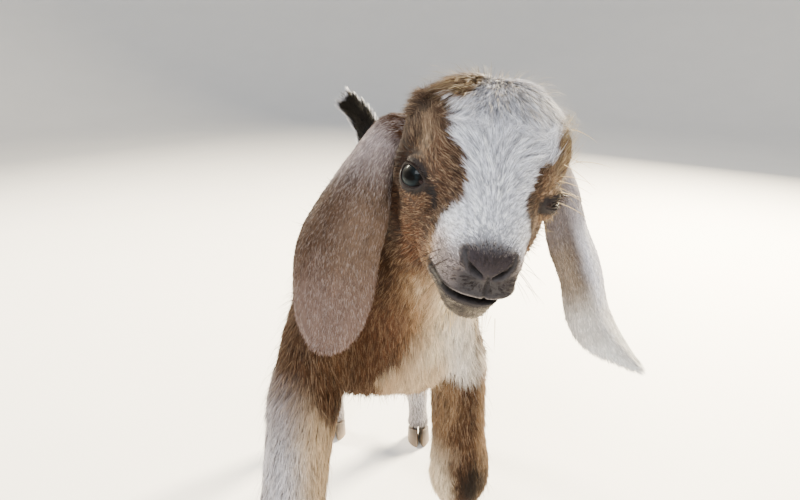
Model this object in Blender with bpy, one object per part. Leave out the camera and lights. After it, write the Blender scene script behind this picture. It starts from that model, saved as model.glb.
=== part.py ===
"""Goat kid of a lop-eared breed, about ten days old, as a still model at life size.

The kid stands on the floor plane z = 0, faces -Y and has its left side at +X.
Its flesh is lofted part by part, joined and smoothed into one body, and parted by thin
cuts where a person would name the parts. Eyes, hoof claws and dewclaws are solids of
their own. Everything is in metres.
"""

import math

import bmesh
import bpy
import numpy as np
from mathutils import Matrix, Vector

# Gap between touching solids.
GAP = 0.0003

# Shift from the place where the body was laid out to its own origin, under its middle.
ORIGIN_SHIFT = Vector((-0.0248, 0.0399, 0.0))

# Fineness of the flesh and of the finished solids.
FLESH_VOXEL = 0.0036
SMOOTHING = (("trunk", 14), ("", 4))
BODY_TRIANGLES = 7300
HEAD_CARE = 0.0004

# How far the rounded sections of head and trunk lean from an ellipse to a square.
HEAD_SQUARENESS = 2.25
TRUNK_SQUARENESS = 2.3

# The head lies in front of this place and above this height, the trunk above the other.
HEAD_BACK = -0.175
HEAD_FLOOR = 0.33
TRUNK_FLOOR = 0.20

# The head's own frame: origin midway between the eyes, nose at -Y, crown at +Z.
HEAD_PLACE = Vector((0.0414, -0.2264, 0.402))
HEAD_YAW = math.radians(-5.5)
HEAD_PITCH = math.radians(10)
HEAD_ROLL = math.radians(11)

# Head sections from nose to poll: place, top, underside, half width, extra width on top.
HEAD_SECTIONS = (
    (-0.0645, -0.010, -0.025, 0.0095, 0.00),
    (-0.0620, -0.004, -0.0325, 0.0155, 0.00),
    (-0.0550, 0.002, -0.0385, 0.0195, 0.00),
    (-0.0430, 0.010, -0.0425, 0.0220, 0.00),
    (-0.0300, 0.019, -0.0435, 0.0245, 0.00),
    (-0.0150, 0.029, -0.0455, 0.0290, 0.04),
    (0.0000, 0.038, -0.0480, 0.0370, 0.08),
    (0.0150, 0.0455, -0.0485, 0.0405, 0.13),
    (0.0300, 0.049, -0.0440, 0.0415, 0.17),
    (0.0450, 0.047, -0.0320, 0.0385, 0.15),
    (0.0580, 0.036, -0.0160, 0.0300, 0.08),
    (0.0680, 0.020, 0.0000, 0.0150, 0.00),
)

# Lumps of the head: place in its frame (mirrored to both sides), radii.
HEAD_LUMPS = (
    ((0.0300, -0.003, 0.0035), (0.0085, 0.0155, 0.0150)),
    ((0.0255, 0.018, -0.0210), (0.0120, 0.0290, 0.0220)),
    ((0.0320, 0.030, 0.0310), (0.0092, 0.0115, 0.0105)),
    ((0.0110, -0.046, -0.0150), (0.0105, 0.0160, 0.0150)),
)
NOSE_PAD = ((0.0, -0.0595, -0.0095), (0.0120, 0.0080, 0.0095))
CHIN = ((-0.0015, -0.0480, -0.0350), (0.0150, 0.0150, 0.0090))

EYE_PLACE = Vector((0.0306, -0.0050, 0.0026))
EYE_RADIUS = 0.0105
EYE_FACING = Vector((0.76, -0.61, 0.22))
LID_OPENING = (0.0092, 0.0062)
LID_THICKNESS = 0.0014
LID_POINTING = 0.35

# Trunk sections from brisket to rump: place, top, underside, half width, extra on top.
TRUNK_SECTIONS = (
    (-0.160, 0.312, 0.256, 0.022, 0.0),
    (-0.145, 0.342, 0.234, 0.044, 0.0),
    (-0.110, 0.366, 0.219, 0.052, -0.05),
    (-0.070, 0.374, 0.218, 0.053, -0.14),
    (-0.020, 0.368, 0.222, 0.055, -0.24),
    (0.040, 0.362, 0.226, 0.055, -0.28),
    (0.100, 0.362, 0.238, 0.047, -0.20),
    (0.150, 0.358, 0.262, 0.040, -0.10),
    (0.182, 0.346, 0.280, 0.032, 0.0),
    (0.198, 0.330, 0.296, 0.018, 0.0),
)

# Neck sections from the withers to the skull: centre, half width, half depth.
NECK_SECTIONS = (
    ((0.002, -0.075, 0.308), 0.046, 0.058),
    ((0.006, -0.115, 0.325), 0.046, 0.058),
    ((0.018, -0.147, 0.352), 0.041, 0.048),
    ((0.032, -0.172, 0.380), 0.038, 0.040),
    ((0.041, -0.190, 0.405), 0.035, 0.036),
)

# Legs from the trunk down: centre, half width, half depth fore and aft.
FORELEG_LEFT = (
    ((0.042, -0.112, 0.305), 0.020, 0.034),
    ((0.050, -0.108, 0.262), 0.0215, 0.030),
    ((0.053, -0.112, 0.225), 0.0185, 0.0235),
    ((0.054, -0.118, 0.185), 0.0170, 0.0190),
    ((0.055, -0.120, 0.160), 0.0190, 0.0200),
    ((0.055, -0.120, 0.140), 0.0190, 0.0195),
    ((0.055, -0.117, 0.118), 0.0135, 0.0150),
    ((0.055, -0.116, 0.085), 0.0115, 0.0135),
    ((0.055, -0.118, 0.056), 0.0145, 0.0165),
    ((0.055, -0.125, 0.036), 0.0125, 0.0135),
    ((0.055, -0.131, 0.018), 0.0150, 0.0150),
)
FORELEG_RIGHT = (
    ((-0.042, -0.125, 0.305), 0.020, 0.034),
    ((-0.054, -0.140, 0.262), 0.0220, 0.030),
    ((-0.062, -0.160, 0.225), 0.0200, 0.0240),
    ((-0.067, -0.180, 0.188), 0.0180, 0.0195),
    ((-0.071, -0.190, 0.160), 0.0190, 0.0200),
    ((-0.073, -0.194, 0.140), 0.0190, 0.0195),
    ((-0.075, -0.195, 0.118), 0.0135, 0.0150),
    ((-0.077, -0.198, 0.085), 0.0115, 0.0135),
    ((-0.079, -0.203, 0.056), 0.0145, 0.0165),
    ((-0.080, -0.211, 0.036), 0.0125, 0.0135),
    ((-0.081, -0.218, 0.018), 0.0150, 0.0150),
)
# The right hind leg is the left one mirrored; each is set fore or aft by its step.
HINDLEG = (
    ((0.022, 0.122, 0.318), 0.020, 0.042),
    ((0.035, 0.112, 0.285), 0.0240, 0.045),
    ((0.044, 0.107, 0.250), 0.0215, 0.038),
    ((0.050, 0.128, 0.212), 0.0170, 0.0260),
    ((0.052, 0.156, 0.178), 0.0130, 0.0180),
    ((0.051, 0.172, 0.155), 0.0135, 0.0185),
    ((0.051, 0.172, 0.130), 0.0120, 0.0155),
    ((0.051, 0.166, 0.090), 0.0105, 0.0130),
    ((0.051, 0.160, 0.056), 0.0135, 0.0155),
    ((0.051, 0.152, 0.036), 0.0120, 0.0130),
    ((0.051, 0.145, 0.018), 0.0145, 0.0145),
)
HIND_STEP_LEFT = -0.012
HIND_STEP_RIGHT = 0.010

# Muscles that show under the coat: place on the left side, radii.
SHOULDER = ((0.040, -0.108, 0.305), (0.024, 0.042, 0.058))
THIGH = ((0.030, 0.118, 0.290), (0.026, 0.048, 0.050))

# Tail, carried high and swung to its right: centre, half width, half depth.
TAIL_SECTIONS = (
    ((0.002, 0.172, 0.334), 0.013, 0.012),
    ((0.002, 0.190, 0.350), 0.0130, 0.0110),
    ((-0.002, 0.200, 0.366), 0.0125, 0.0095),
    ((-0.010, 0.202, 0.382), 0.0110, 0.0080),
    ((-0.020, 0.201, 0.395), 0.0080, 0.0060),
    ((-0.028, 0.199, 0.403), 0.0030, 0.0030),
)

# Locks of the tail's fringe, in rows up both its edges.
FRINGE_ROWS = 7
FRINGE_LENGTH = 0.021
FRINGE_WIDTH = 0.0120
FRINGE_THICKNESS = 0.0034
FRINGE_SPREAD = 0.26
FRINGE_BEND = 0.10
FRINGE_SHORTENING = 0.04
# One lock from root to point: how far along it, share of its width, share of its thickness.
LOCK_PROFILE = ((0.0, 0.75, 1.0), (0.35, 1.0, 1.0), (0.7, 0.70, 0.7), (1.0, 0.10, 0.25))

# Ears: centre line from the skull to the tip, with the way across the ear at each point.
EAR_WIDTH_STEPS = 8
EAR_THICKNESS = 0.0034
EAR_EDGE_THINNING = 0.55
EAR_RIGHT = (
    ((0.0170, -0.1780, 0.4280), (0.30, -0.60, -0.60)),
    ((0.0000, -0.1800, 0.4310), (0.40, -0.50, -0.60)),
    ((-0.0130, -0.1840, 0.4150), (0.75, -0.45, -0.30)),
    ((-0.0235, -0.1900, 0.3885), (0.90, -0.42, -0.05)),
    ((-0.0350, -0.1960, 0.3610), (0.92, -0.38, 0.0)),
    ((-0.0387, -0.2010, 0.3325), (0.92, -0.36, 0.0)),
    ((-0.0421, -0.2040, 0.3130), (0.93, -0.35, 0.0)),
    ((-0.0442, -0.2050, 0.3030), (0.93, -0.35, 0.0)),
)
EAR_LEFT = (
    ((0.0680, -0.1820, 0.4060), (-0.35, -0.20, -0.60)),
    ((0.0890, -0.1830, 0.4090), (-0.40, -0.40, -0.60)),
    ((0.1035, -0.1870, 0.3940), (-0.55, -0.70, -0.30)),
    ((0.1095, -0.1930, 0.3690), (-0.62, -0.78, -0.10)),
    ((0.1152, -0.2000, 0.3470), (-0.64, -0.77, 0.0)),
    ((0.1198, -0.2090, 0.3200), (-0.66, -0.75, 0.0)),
    ((0.1335, -0.2170, 0.2995), (-0.64, -0.77, 0.0)),
    ((0.1415, -0.2210, 0.2915), (-0.62, -0.79, 0.0)),
)
# Width of each ear and half the angle that it is cupped through, root to tip.
EAR_SHAPE_RIGHT = (
    (0.030, 1.70),
    (0.033, 1.60),
    (0.038, 1.35),
    (0.051, 1.00),
    (0.0575, 0.75),
    (0.0535, 0.66),
    (0.0385, 0.52),
    (0.016, 0.32),
)
EAR_SHAPE_LEFT = (
    (0.030, 1.70),
    (0.034, 1.60),
    (0.041, 1.35),
    (0.053, 1.00),
    (0.060, 0.75),
    (0.056, 0.70),
    (0.024, 0.60),
    (0.010, 0.40),
)

# Mouth line in the head's frame, from its corner to the front, and how far it gapes.
MOUTH_LINE = (
    (0.0225, -0.0380, -0.0262),
    (0.0210, -0.0470, -0.0250),
    (0.0175, -0.0560, -0.0242),
    (0.0105, -0.0620, -0.0256),
    (0.0000, -0.0640, -0.0280),
)
MOUTH_GAPE = 0.0024
MOUTH_DEPTH = 0.0055

# Nostril slit in the head's frame, from its wing to its foot: place, radius.
NOSTRIL = (
    ((0.0100, -0.0590, -0.0050), 0.0010),
    ((0.0094, -0.0620, -0.0078), 0.0018),
    ((0.0070, -0.0650, -0.0105), 0.0019),
    ((0.0036, -0.0668, -0.0128), 0.0011),
)

# Hoof claws: sizes of one claw, and how it stands under the pastern.
CLAW_LENGTH = 0.031
CLAW_WIDTH = 0.0128
CLAW_LEAN = 0.0035
CLAW_LEVELS = (0.0, 0.12, 0.5, 1.0)
CLEFT = 0.0010
CORONET_HEIGHT = 0.0165
CORONET_SLOPE = 0.30
CORONET_REACH = 0.03
DEWCLAW_RADII = (0.0034, 0.0042, 0.0062)
DEWCLAW_HEIGHT = 0.050
DEWCLAW_SPREAD = 0.0068
DEWCLAW_SETBACK = 0.0135
DEWCLAW_LEAN = math.radians(38)

# Thin cuts that part the body: middle, way across the cut, half sizes along and across it.
CUTS = (
    ((0.0360, -0.1740, 0.3950), (0.10, -0.93, 0.36), 0.062, 0.078),
    ((0.0160, -0.1420, 0.3480), (0.24, -0.64, 0.73), 0.075, 0.090),
    ((0.0520, -0.1100, 0.2460), (0.70, 0.00, -0.70), 0.060, 0.050),
    ((-0.0580, -0.1480, 0.2460), (-0.70, 0.00, -0.70), 0.060, 0.050),
    ((0.0520, 0.1060, 0.2480), (0.66, 0.30, -0.69), 0.054, 0.064),
    ((-0.0520, 0.1120, 0.2480), (-0.66, 0.30, -0.69), 0.054, 0.064),
)

# Where each parted piece of flesh has its middle, roughly, and the colour of its coat.
FLESH_PARTS = {
    "head": ((0.040, -0.220, 0.400), (0.62, 0.47, 0.36)),
    "neck": ((0.020, -0.150, 0.350), (0.48, 0.34, 0.24)),
    "torso": ((0.000, 0.040, 0.300), (0.50, 0.36, 0.26)),
    "foreleg_left": ((0.055, -0.115, 0.130), (0.38, 0.25, 0.17)),
    "foreleg_right": ((-0.070, -0.185, 0.130), (0.80, 0.75, 0.70)),
    "hindleg_left": ((0.050, 0.150, 0.130), (0.78, 0.73, 0.68)),
    "hindleg_right": ((-0.050, 0.160, 0.130), (0.78, 0.73, 0.68)),
}
EAR_COLOUR = (0.44, 0.34, 0.29)
TAIL_COLOUR = (0.10, 0.08, 0.07)
EYE_COLOUR = (0.05, 0.06, 0.08)
HOOF_COLOUR = (0.20, 0.16, 0.13)


def carried(rows, per_span):
    """The rows of numbers, carried smoothly through every given row by a Catmull-Rom curve."""
    rows = np.array(rows, float)
    padded = np.vstack([2 * rows[0] - rows[1], rows, 2 * rows[-1] - rows[-2]])
    t = np.linspace(0, 1, per_span, endpoint=False)[:, None]
    spans = [
        0.5
        * (
            2 * b
            + (c - a) * t
            + (2 * a - 5 * b + 4 * c - d) * t**2
            + (3 * b - a - 3 * c + d) * t**3
        )
        for a, b, c, d in zip(padded, padded[1:], padded[2:], padded[3:])
    ]
    return np.vstack([*spans, rows[-1:]])


def flat_rows(stations):
    """Stations of (place, sizes...) as rows of plain numbers."""
    return [[*place, *sizes] for place, *sizes in stations]


def closed_loft(rings):
    """A closed bmesh through rings of points, with a fan over each end."""
    bm = bmesh.new()
    loops = [[bm.verts.new(point) for point in ring] for ring in rings]
    count = len(loops[0])
    for lower, upper in zip(loops, loops[1:]):
        for i in range(count):
            j = (i + 1) % count
            bm.faces.new((lower[i], lower[j], upper[j], upper[i]))
    for loop, ring in ((loops[0], rings[0]), (loops[-1], rings[-1])):
        middle = bm.verts.new(np.mean(np.array(ring), axis=0))
        for i in range(count):
            bm.faces.new((loop[i], loop[(i + 1) % count], middle))
    bmesh.ops.recalc_face_normals(bm, faces=bm.faces)
    return bm


def tube(stations, sides=20, per_span=4):
    """A loft of ellipses square to the line through the stations: centre, half width, half depth."""
    rows = carried(flat_rows(stations), per_span)
    centres = rows[:, :3]
    along = np.gradient(centres, axis=0)
    along /= np.linalg.norm(along, axis=1)[:, None]
    across = np.array([1.0, 0.0, 0.0]) - along[:, :1] * along
    across /= np.linalg.norm(across, axis=1)[:, None]
    fore = np.cross(across, along)
    angle = np.linspace(0, 2 * math.pi, sides, endpoint=False)
    rings = (
        centres[:, None]
        + across[:, None] * (rows[:, 3:4] * np.cos(angle))[..., None]
        + fore[:, None] * (rows[:, 4:5] * np.sin(angle))[..., None]
    )
    return closed_loft(rings)


def slices(sections, squareness, sides=32, per_span=4):
    """A loft of upright rounded sections along Y: place, top, underside, half width, extra on top."""
    rows = carried(sections, per_span)
    angle = np.linspace(0, 2 * math.pi, sides, endpoint=False)
    bend = 2 / squareness
    side = np.sign(np.cos(angle)) * np.abs(np.cos(angle)) ** bend
    rise = np.sign(np.sin(angle)) * np.abs(np.sin(angle)) ** bend
    place, top, under, width, extra = (rows[:, i : i + 1] for i in range(5))
    x = width * side * (1 + extra * rise)
    z = (top + under) / 2 + (top - under) / 2 * rise
    return closed_loft(np.stack([x, place + 0 * x, z], axis=-1))


def ellipsoid(centre, radii, detail=3):
    """A ball stretched to the three radii."""
    bm = bmesh.new()
    matrix = Matrix.Translation(centre) @ Matrix.Diagonal((*radii, 1))
    bmesh.ops.create_icosphere(bm, subdivisions=detail, radius=1, matrix=matrix)
    return bm


def head_matrix():
    """Carries the head's own frame to the body's."""
    return (
        Matrix.Translation(HEAD_PLACE)
        @ Matrix.Rotation(HEAD_YAW, 4, "Z")
        @ Matrix.Rotation(HEAD_PITCH, 4, "X")
        @ Matrix.Rotation(HEAD_ROLL, 4, "Y")
    )


def mirrored(point):
    """The point on the other side of the body."""
    return Vector((-point[0], point[1], point[2]))


def object_from(name, bm, colour=None, roughness=0.8):
    """Puts a bmesh into a named object, with its own material when it has a colour."""
    mesh = bpy.data.meshes.new(name)
    bm.to_mesh(mesh)
    bm.free()
    obj = bpy.data.objects.new(name, mesh)
    bpy.context.scene.collection.objects.link(obj)
    if colour:
        dress(obj, colour, roughness)
    return obj


def dress(obj, colour, roughness):
    """Gives the object its own plain material and smooth shading."""
    material = bpy.data.materials.new(obj.name)
    material.use_nodes = True
    shader = material.node_tree.nodes["Principled BSDF"]
    shader.inputs["Base Color"].default_value = (*colour, 1)
    shader.inputs["Roughness"].default_value = roughness
    obj.data.materials.clear()
    obj.data.materials.append(material)
    obj.data.shade_smooth()


def joined(pieces):
    """One bmesh with the faces of all the pieces."""
    whole = bmesh.new()
    for bm in pieces:
        mesh = bpy.data.meshes.new("piece")
        bm.to_mesh(mesh)
        bm.free()
        whole.from_mesh(mesh)
        bpy.data.meshes.remove(mesh)
    return whole


def apply_modifiers(obj):
    """Replaces the object's mesh by what its modifiers make of it."""
    graph = bpy.context.evaluated_depsgraph_get()
    mesh = bpy.data.meshes.new_from_object(obj.evaluated_get(graph))
    obj.modifiers.clear()
    old = obj.data
    obj.data = mesh
    bpy.data.meshes.remove(old)


def boolean(obj, other, operation):
    """Applies one exact Boolean to obj and removes the other object."""
    modifier = obj.modifiers.new(operation, "BOOLEAN")
    modifier.operation = operation
    modifier.object = other
    apply_modifiers(obj)
    bpy.data.objects.remove(other)


def head_flesh():
    """The head's loft and lumps, in the body's frame."""
    pieces = [slices(HEAD_SECTIONS, HEAD_SQUARENESS)]
    for place, radii in HEAD_LUMPS:
        pieces.append(ellipsoid(place, radii))
        pieces.append(ellipsoid(mirrored(place), radii))
    pieces.append(ellipsoid(*NOSE_PAD))
    pieces.append(ellipsoid(*CHIN))
    head = joined(pieces)
    bmesh.ops.transform(head, matrix=head_matrix(), verts=head.verts)
    return head


def hind_stations(side, step):
    """The hind leg's stations on one side, set fore or aft by its step towards the foot."""
    top = HINDLEG[0][0][2]
    return [
        (
            (side * x, y + step * (1 - z / top), z),
            width,
            depth,
        )
        for (x, y, z), width, depth in HINDLEG
    ]


def coarsened(flesh):
    """Thins the flesh to few triangles, and the head less than the rest."""
    weights = flesh.vertex_groups.new(name="coarse")
    for vertex in flesh.data.vertices:
        on_head = vertex.co.y < HEAD_BACK and vertex.co.z > HEAD_FLOOR
        weights.add([vertex.index], 0.5 if on_head else 1.0, "REPLACE")
    thin = flesh.modifiers.new("Thin", "DECIMATE")
    thin.ratio = BODY_TRIANGLES / (2 * len(flesh.data.polygons))
    thin.vertex_group = "coarse"
    thin.vertex_group_factor = HEAD_CARE
    thin.use_collapse_triangulate = True
    apply_modifiers(flesh)


def build_flesh():
    """The whole body but for ears and tail, joined, smoothed and thinned to few triangles."""
    pieces = [
        slices(TRUNK_SECTIONS, TRUNK_SQUARENESS),
        tube(NECK_SECTIONS, sides=28),
        tube(FORELEG_LEFT),
        tube(FORELEG_RIGHT),
        tube(hind_stations(1, HIND_STEP_LEFT)),
        tube(hind_stations(-1, HIND_STEP_RIGHT)),
        head_flesh(),
    ]
    for place, radii in (SHOULDER, THIGH):
        pieces.append(ellipsoid(place, radii))
        pieces.append(ellipsoid(mirrored(place), radii))
    flesh = object_from("flesh", joined(pieces))
    remesh = flesh.modifiers.new("Join", "REMESH")
    remesh.mode = "VOXEL"
    remesh.voxel_size = FLESH_VOXEL
    apply_modifiers(flesh)
    trunk = flesh.vertex_groups.new(name="trunk")
    for vertex in flesh.data.vertices:
        if vertex.co.z > TRUNK_FLOOR and vertex.co.y > HEAD_BACK:
            trunk.add([vertex.index], 1.0, "REPLACE")
    for group, repeats in SMOOTHING:
        smooth = flesh.modifiers.new("Smooth", "SMOOTH")
        smooth.factor = 0.5
        smooth.iterations = repeats
        smooth.vertex_group = group
    apply_modifiers(flesh)
    coarsened(flesh)
    return flesh


def swollen(obj, name, distance):
    """A copy of the object with its surface pushed out by the distance."""
    bm = bmesh.new()
    bm.from_mesh(obj.data)
    bm.normal_update()
    for vertex in bm.verts:
        vertex.co += vertex.normal * distance
    return object_from(name, bm)


def eye_frame(side):
    """Carries an upright frame with +Z out of the eye to its place in the body."""
    facing = Vector((side * EYE_FACING.x, EYE_FACING.y, EYE_FACING.z)).normalized()
    across = Vector((0, 0, 1)).cross(facing).normalized()
    turn = Matrix((across, facing.cross(across), facing)).transposed().to_4x4()
    place = Vector((side * EYE_PLACE.x, EYE_PLACE.y, EYE_PLACE.z))
    return head_matrix() @ Matrix.Translation(place) @ turn


def ball(name, matrix, radius, detail=3):
    """A ball in a frame."""
    bm = bmesh.new()
    bmesh.ops.create_icosphere(bm, subdivisions=detail, radius=radius, matrix=matrix)
    return object_from(name, bm)


def lid_window(matrix):
    """Cutter for the almond opening between the lids, pointed at both corners."""
    angle = np.linspace(0, 2 * math.pi, 20, endpoint=False)
    x = LID_OPENING[0] * np.cos(angle)
    y = LID_OPENING[1] * np.sin(angle) * np.abs(np.sin(angle)) ** LID_POINTING
    rings = [np.stack([x, y, 0 * x + z], axis=-1) for z in (0.0, 2 * EYE_RADIUS)]
    bm = closed_loft(rings)
    bmesh.ops.transform(bm, matrix=matrix, verts=bm.verts)
    return object_from("window", bm)


def set_eyes(flesh):
    """Raises the lids on the head, opens them and leaves a socket for each eyeball."""
    for side in (-1, 1):
        frame = eye_frame(side)
        boolean(flesh, ball("lids", frame, EYE_RADIUS + LID_THICKNESS), "UNION")
        boolean(flesh, lid_window(frame), "DIFFERENCE")
        boolean(flesh, ball("socket", frame, EYE_RADIUS + GAP), "DIFFERENCE")


def mouth_cutter():
    """Cutter for the mouth: a thin band that follows the lips round the muzzle."""
    left = carried(MOUTH_LINE, 4)
    right = left[-2::-1] * np.array([-1, 1, 1])
    line = np.vstack([left, right])
    middle = np.array([0, MOUTH_LINE[1][1], 0])
    outward = (line - middle) * np.array([1, 1, 0])
    outward /= np.linalg.norm(outward, axis=1)[:, None]
    fade = np.sin(np.linspace(0.0, math.pi, len(line)))[:, None]
    half = MOUTH_GAPE / 2 * (0.5 + 0.5 * fade) * np.array([0, 0, 1.0])
    near = line - outward * MOUTH_DEPTH
    far = line + outward * MOUTH_DEPTH
    rings = np.stack([far + half, near + half * 0.6, near - half * 0.6, far - half], axis=1)
    bm = closed_loft(rings)
    bmesh.ops.transform(bm, matrix=head_matrix(), verts=bm.verts)
    return object_from("mouth", bm)


def nostril_cutter(side):
    """Cutter for one nostril: a comma-shaped slit in the nose pad."""
    stations = [((side * x, y, z), size, size) for (x, y, z), size in NOSTRIL]
    bm = tube(stations, sides=8, per_span=3)
    bmesh.ops.transform(bm, matrix=head_matrix(), verts=bm.verts)
    return object_from("nostril", bm)


def slab(middle, normal, half_height, half_length):
    """Cutter for one thin cut: a sheet as thick as the gap, square to the normal."""
    normal = Vector(normal).normalized()
    along = Vector((0, 1, 0)) - normal * normal.y
    along.normalize()
    turn = Matrix((along.cross(normal), along, normal)).transposed().to_4x4()
    size = Matrix.Diagonal((2 * half_height, 2 * half_length, GAP, 1))
    bm = bmesh.new()
    bmesh.ops.create_cube(bm, size=1, matrix=Matrix.Translation(middle) @ turn @ size)
    return object_from("cut", bm)


def feet():
    """Each leg's node, with the middle of its foot and the middle of its fetlock."""
    legs = {
        "foreleg_left": FORELEG_LEFT,
        "foreleg_right": FORELEG_RIGHT,
        "hindleg_left": hind_stations(1, HIND_STEP_LEFT),
        "hindleg_right": hind_stations(-1, HIND_STEP_RIGHT),
    }
    return {name: (Vector(rows[-1][0]), Vector(rows[-3][0])) for name, rows in legs.items()}


def coronet_height(y, foot):
    """Height of the sloping plane where hoof and skin meet, over a place fore or aft."""
    return CORONET_HEIGHT - CORONET_SLOPE * (y - foot.y)


def below_coronet(foot):
    """Cutter for all that lies under one foot's coronet plane."""
    bm = bmesh.new()
    bmesh.ops.create_cube(bm, size=2 * CORONET_REACH)
    for vertex in bm.verts:
        vertex.co.x += foot.x
        vertex.co.y += foot.y
        top = coronet_height(vertex.co.y, foot) + GAP
        vertex.co.z = top if vertex.co.z > 0 else -CORONET_REACH
    return object_from("coronet", bm)


def claw(foot, side):
    """One claw of a hoof: flat sole, pointed toe, cleft side flat, up to the coronet plane."""
    angle = np.linspace(0, 2 * math.pi, 18, endpoint=False)
    y = -np.cos(angle)
    taper = np.where(y < 0, 1 - 0.55 * y**2, 1 - 0.10 * y**2)
    x = np.sin(angle)
    x = np.where(x < 0, -np.abs(x) ** 0.35 * 0.42, np.abs(x) ** 0.8) * taper
    rings = []
    for level in CLAW_LEVELS:
        grow = 1.0 - 0.10 * level - 0.05 * (level == 0)
        px = foot.x + side * (CLEFT / 2 + CLAW_WIDTH * (0.30 + 0.70 * x * grow))
        py = foot.y + CLAW_LENGTH / 2 * y * grow - CLAW_LEAN * (1 - level)
        pz = level * coronet_height(py, foot)
        rings.append(np.stack([px, py, pz + 0 * px], axis=-1))
    return closed_loft(rings)


def dewclaw_frame(fetlock, side):
    """Places a dewclaw behind the fetlock, pointing down and back."""
    place = Vector((side * DEWCLAW_SPREAD, DEWCLAW_SETBACK, 0)) + fetlock
    place.z = DEWCLAW_HEIGHT
    return Matrix.Translation(place) @ Matrix.Rotation(DEWCLAW_LEAN, 4, "X")


def dewclaw(name, fetlock, side, extra=0.0):
    """One dewclaw, a blunt cone of horn, swollen by the extra for its pocket."""
    radii = [size + extra for size in DEWCLAW_RADII]
    matrix = dewclaw_frame(fetlock, side) @ Matrix.Diagonal((*radii, 1))
    bm = bmesh.new()
    bmesh.ops.create_icosphere(bm, subdivisions=2, radius=1, matrix=matrix)
    return object_from(name, bm)


def ear_sheet(stations, shapes, side):
    """An ear as a thick sheet cupped along its length, with rounded tip, in arcs across."""
    rows = [[*place, *across, *shape] for (place, across), shape in zip(stations, shapes)]
    rows = carried(rows, 3)
    centre = rows[:, None, :3]
    along = np.gradient(rows[:, :3], axis=0)
    along /= np.linalg.norm(along, axis=1)[:, None]
    across = rows[:, 3:6] - along * np.sum(rows[:, 3:6] * along, axis=1)[:, None]
    across /= np.linalg.norm(across, axis=1)[:, None]
    outward = -side * np.cross(along, across)
    v = np.linspace(-1, 1, EAR_WIDTH_STEPS + 1)
    half = rows[:, 7:8]
    radius = rows[:, 6:7] / (2 * half)
    swing = half * v
    normal = (
        np.sin(swing)[..., None] * across[:, None] + np.cos(swing)[..., None] * outward[:, None]
    )
    middle = centre + radius[..., None] * (normal - outward[:, None])
    thick = EAR_THICKNESS / 2 * (1 - EAR_EDGE_THINNING * v**2)[None, :, None]
    bm = bmesh.new()
    faces = []
    for sign in (1, -1):
        grid = middle + sign * thick * normal
        faces.append([[bm.verts.new(point) for point in row] for row in grid])
    outer, inner = faces
    steps = len(rows)
    for face, flip in ((outer, False), (inner, True)):
        for i in range(steps - 1):
            for j in range(EAR_WIDTH_STEPS):
                a, b = face[i][j], face[i][j + 1]
                c, d = face[i + 1][j + 1], face[i + 1][j]
                for corners in ((a, b, c), (a, c, d)):
                    bm.faces.new(corners[::-1] if flip else corners)
    rim = [(i, 0) for i in range(steps)]
    rim += [(steps - 1, j) for j in range(1, EAR_WIDTH_STEPS + 1)]
    rim += [(i, EAR_WIDTH_STEPS) for i in range(steps - 2, -1, -1)]
    rim += [(0, j) for j in range(EAR_WIDTH_STEPS - 1, 0, -1)]
    for (i, j), (k, m) in zip(rim, rim[1:] + rim[:1]):
        bm.faces.new((outer[i][j], outer[k][m], inner[k][m], inner[i][j]))
    bmesh.ops.recalc_face_normals(bm, faces=bm.faces)
    return bm


def islands(bm):
    """The separate closed surfaces of a bmesh, as sets of faces."""
    left = set(bm.faces)
    while left:
        todo = [left.pop()]
        found = set(todo)
        while todo:
            for edge in todo.pop().edges:
                for face in edge.link_faces:
                    if face in left:
                        left.remove(face)
                        found.add(face)
                        todo.append(face)
        yield found


def largest_surface(obj):
    """Keeps only the object's largest closed surface."""
    bm = bmesh.new()
    bm.from_mesh(obj.data)
    groups = sorted(islands(bm), key=len)
    spare = [face for group in groups[:-1] for face in group]
    bmesh.ops.delete(bm, geom=spare, context="FACES")
    bm.to_mesh(obj.data)
    bm.free()


def parted(flesh):
    """Makes each parted piece of the flesh a node, named by the nearest of the places."""
    whole = bmesh.new()
    whole.from_mesh(flesh.data)
    shares = {name: [] for name in FLESH_PARTS}
    for group in islands(whole):
        middle = sum((face.calc_center_median() for face in group), Vector()) / len(group)
        name = min(shares, key=lambda key: (Vector(FLESH_PARTS[key][0]) - middle).length)
        shares[name].append(group)
    for name, groups in shares.items():
        group = max(groups, key=len)
        bm = bmesh.new()
        copies = {v: bm.verts.new(v.co) for v in {v for face in group for v in face.verts}}
        for face in group:
            bm.faces.new([copies[v] for v in face.verts])
        object_from(name, bm, FLESH_PARTS[name][1])
    whole.free()
    bpy.data.objects.remove(flesh)


def build_ears(mantle):
    """Both ears, cut off where they meet the head."""
    for name, stations, shapes, side in (
        ("ear_right", EAR_RIGHT, EAR_SHAPE_RIGHT, -1),
        ("ear_left", EAR_LEFT, EAR_SHAPE_LEFT, 1),
    ):
        ear = object_from(name, ear_sheet(stations, shapes, side), EAR_COLOUR)
        boolean(ear, swollen(mantle, "mantle", GAP), "DIFFERENCE")
        largest_surface(ear)


def lock(root, lie, flat, bend, length):
    """One flat, tapered lock of hair that bends over along its lie, with a blunt root."""
    lie = lie / np.linalg.norm(lie)
    across = np.cross(lie, flat)
    across /= np.linalg.norm(across)
    rise = np.cross(across, lie)
    angle = np.linspace(0, 2 * math.pi, 6, endpoint=False)
    rings = []
    for step, width, depth in LOCK_PROFILE:
        centre = root + length * (lie * step + bend * step**2)
        side = across * FRINGE_WIDTH / 2 * width
        lift = rise * FRINGE_THICKNESS / 2 * depth
        rings.append(centre + np.outer(np.cos(angle), side) + np.outer(np.sin(angle), lift))
    return closed_loft(rings)


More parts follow.
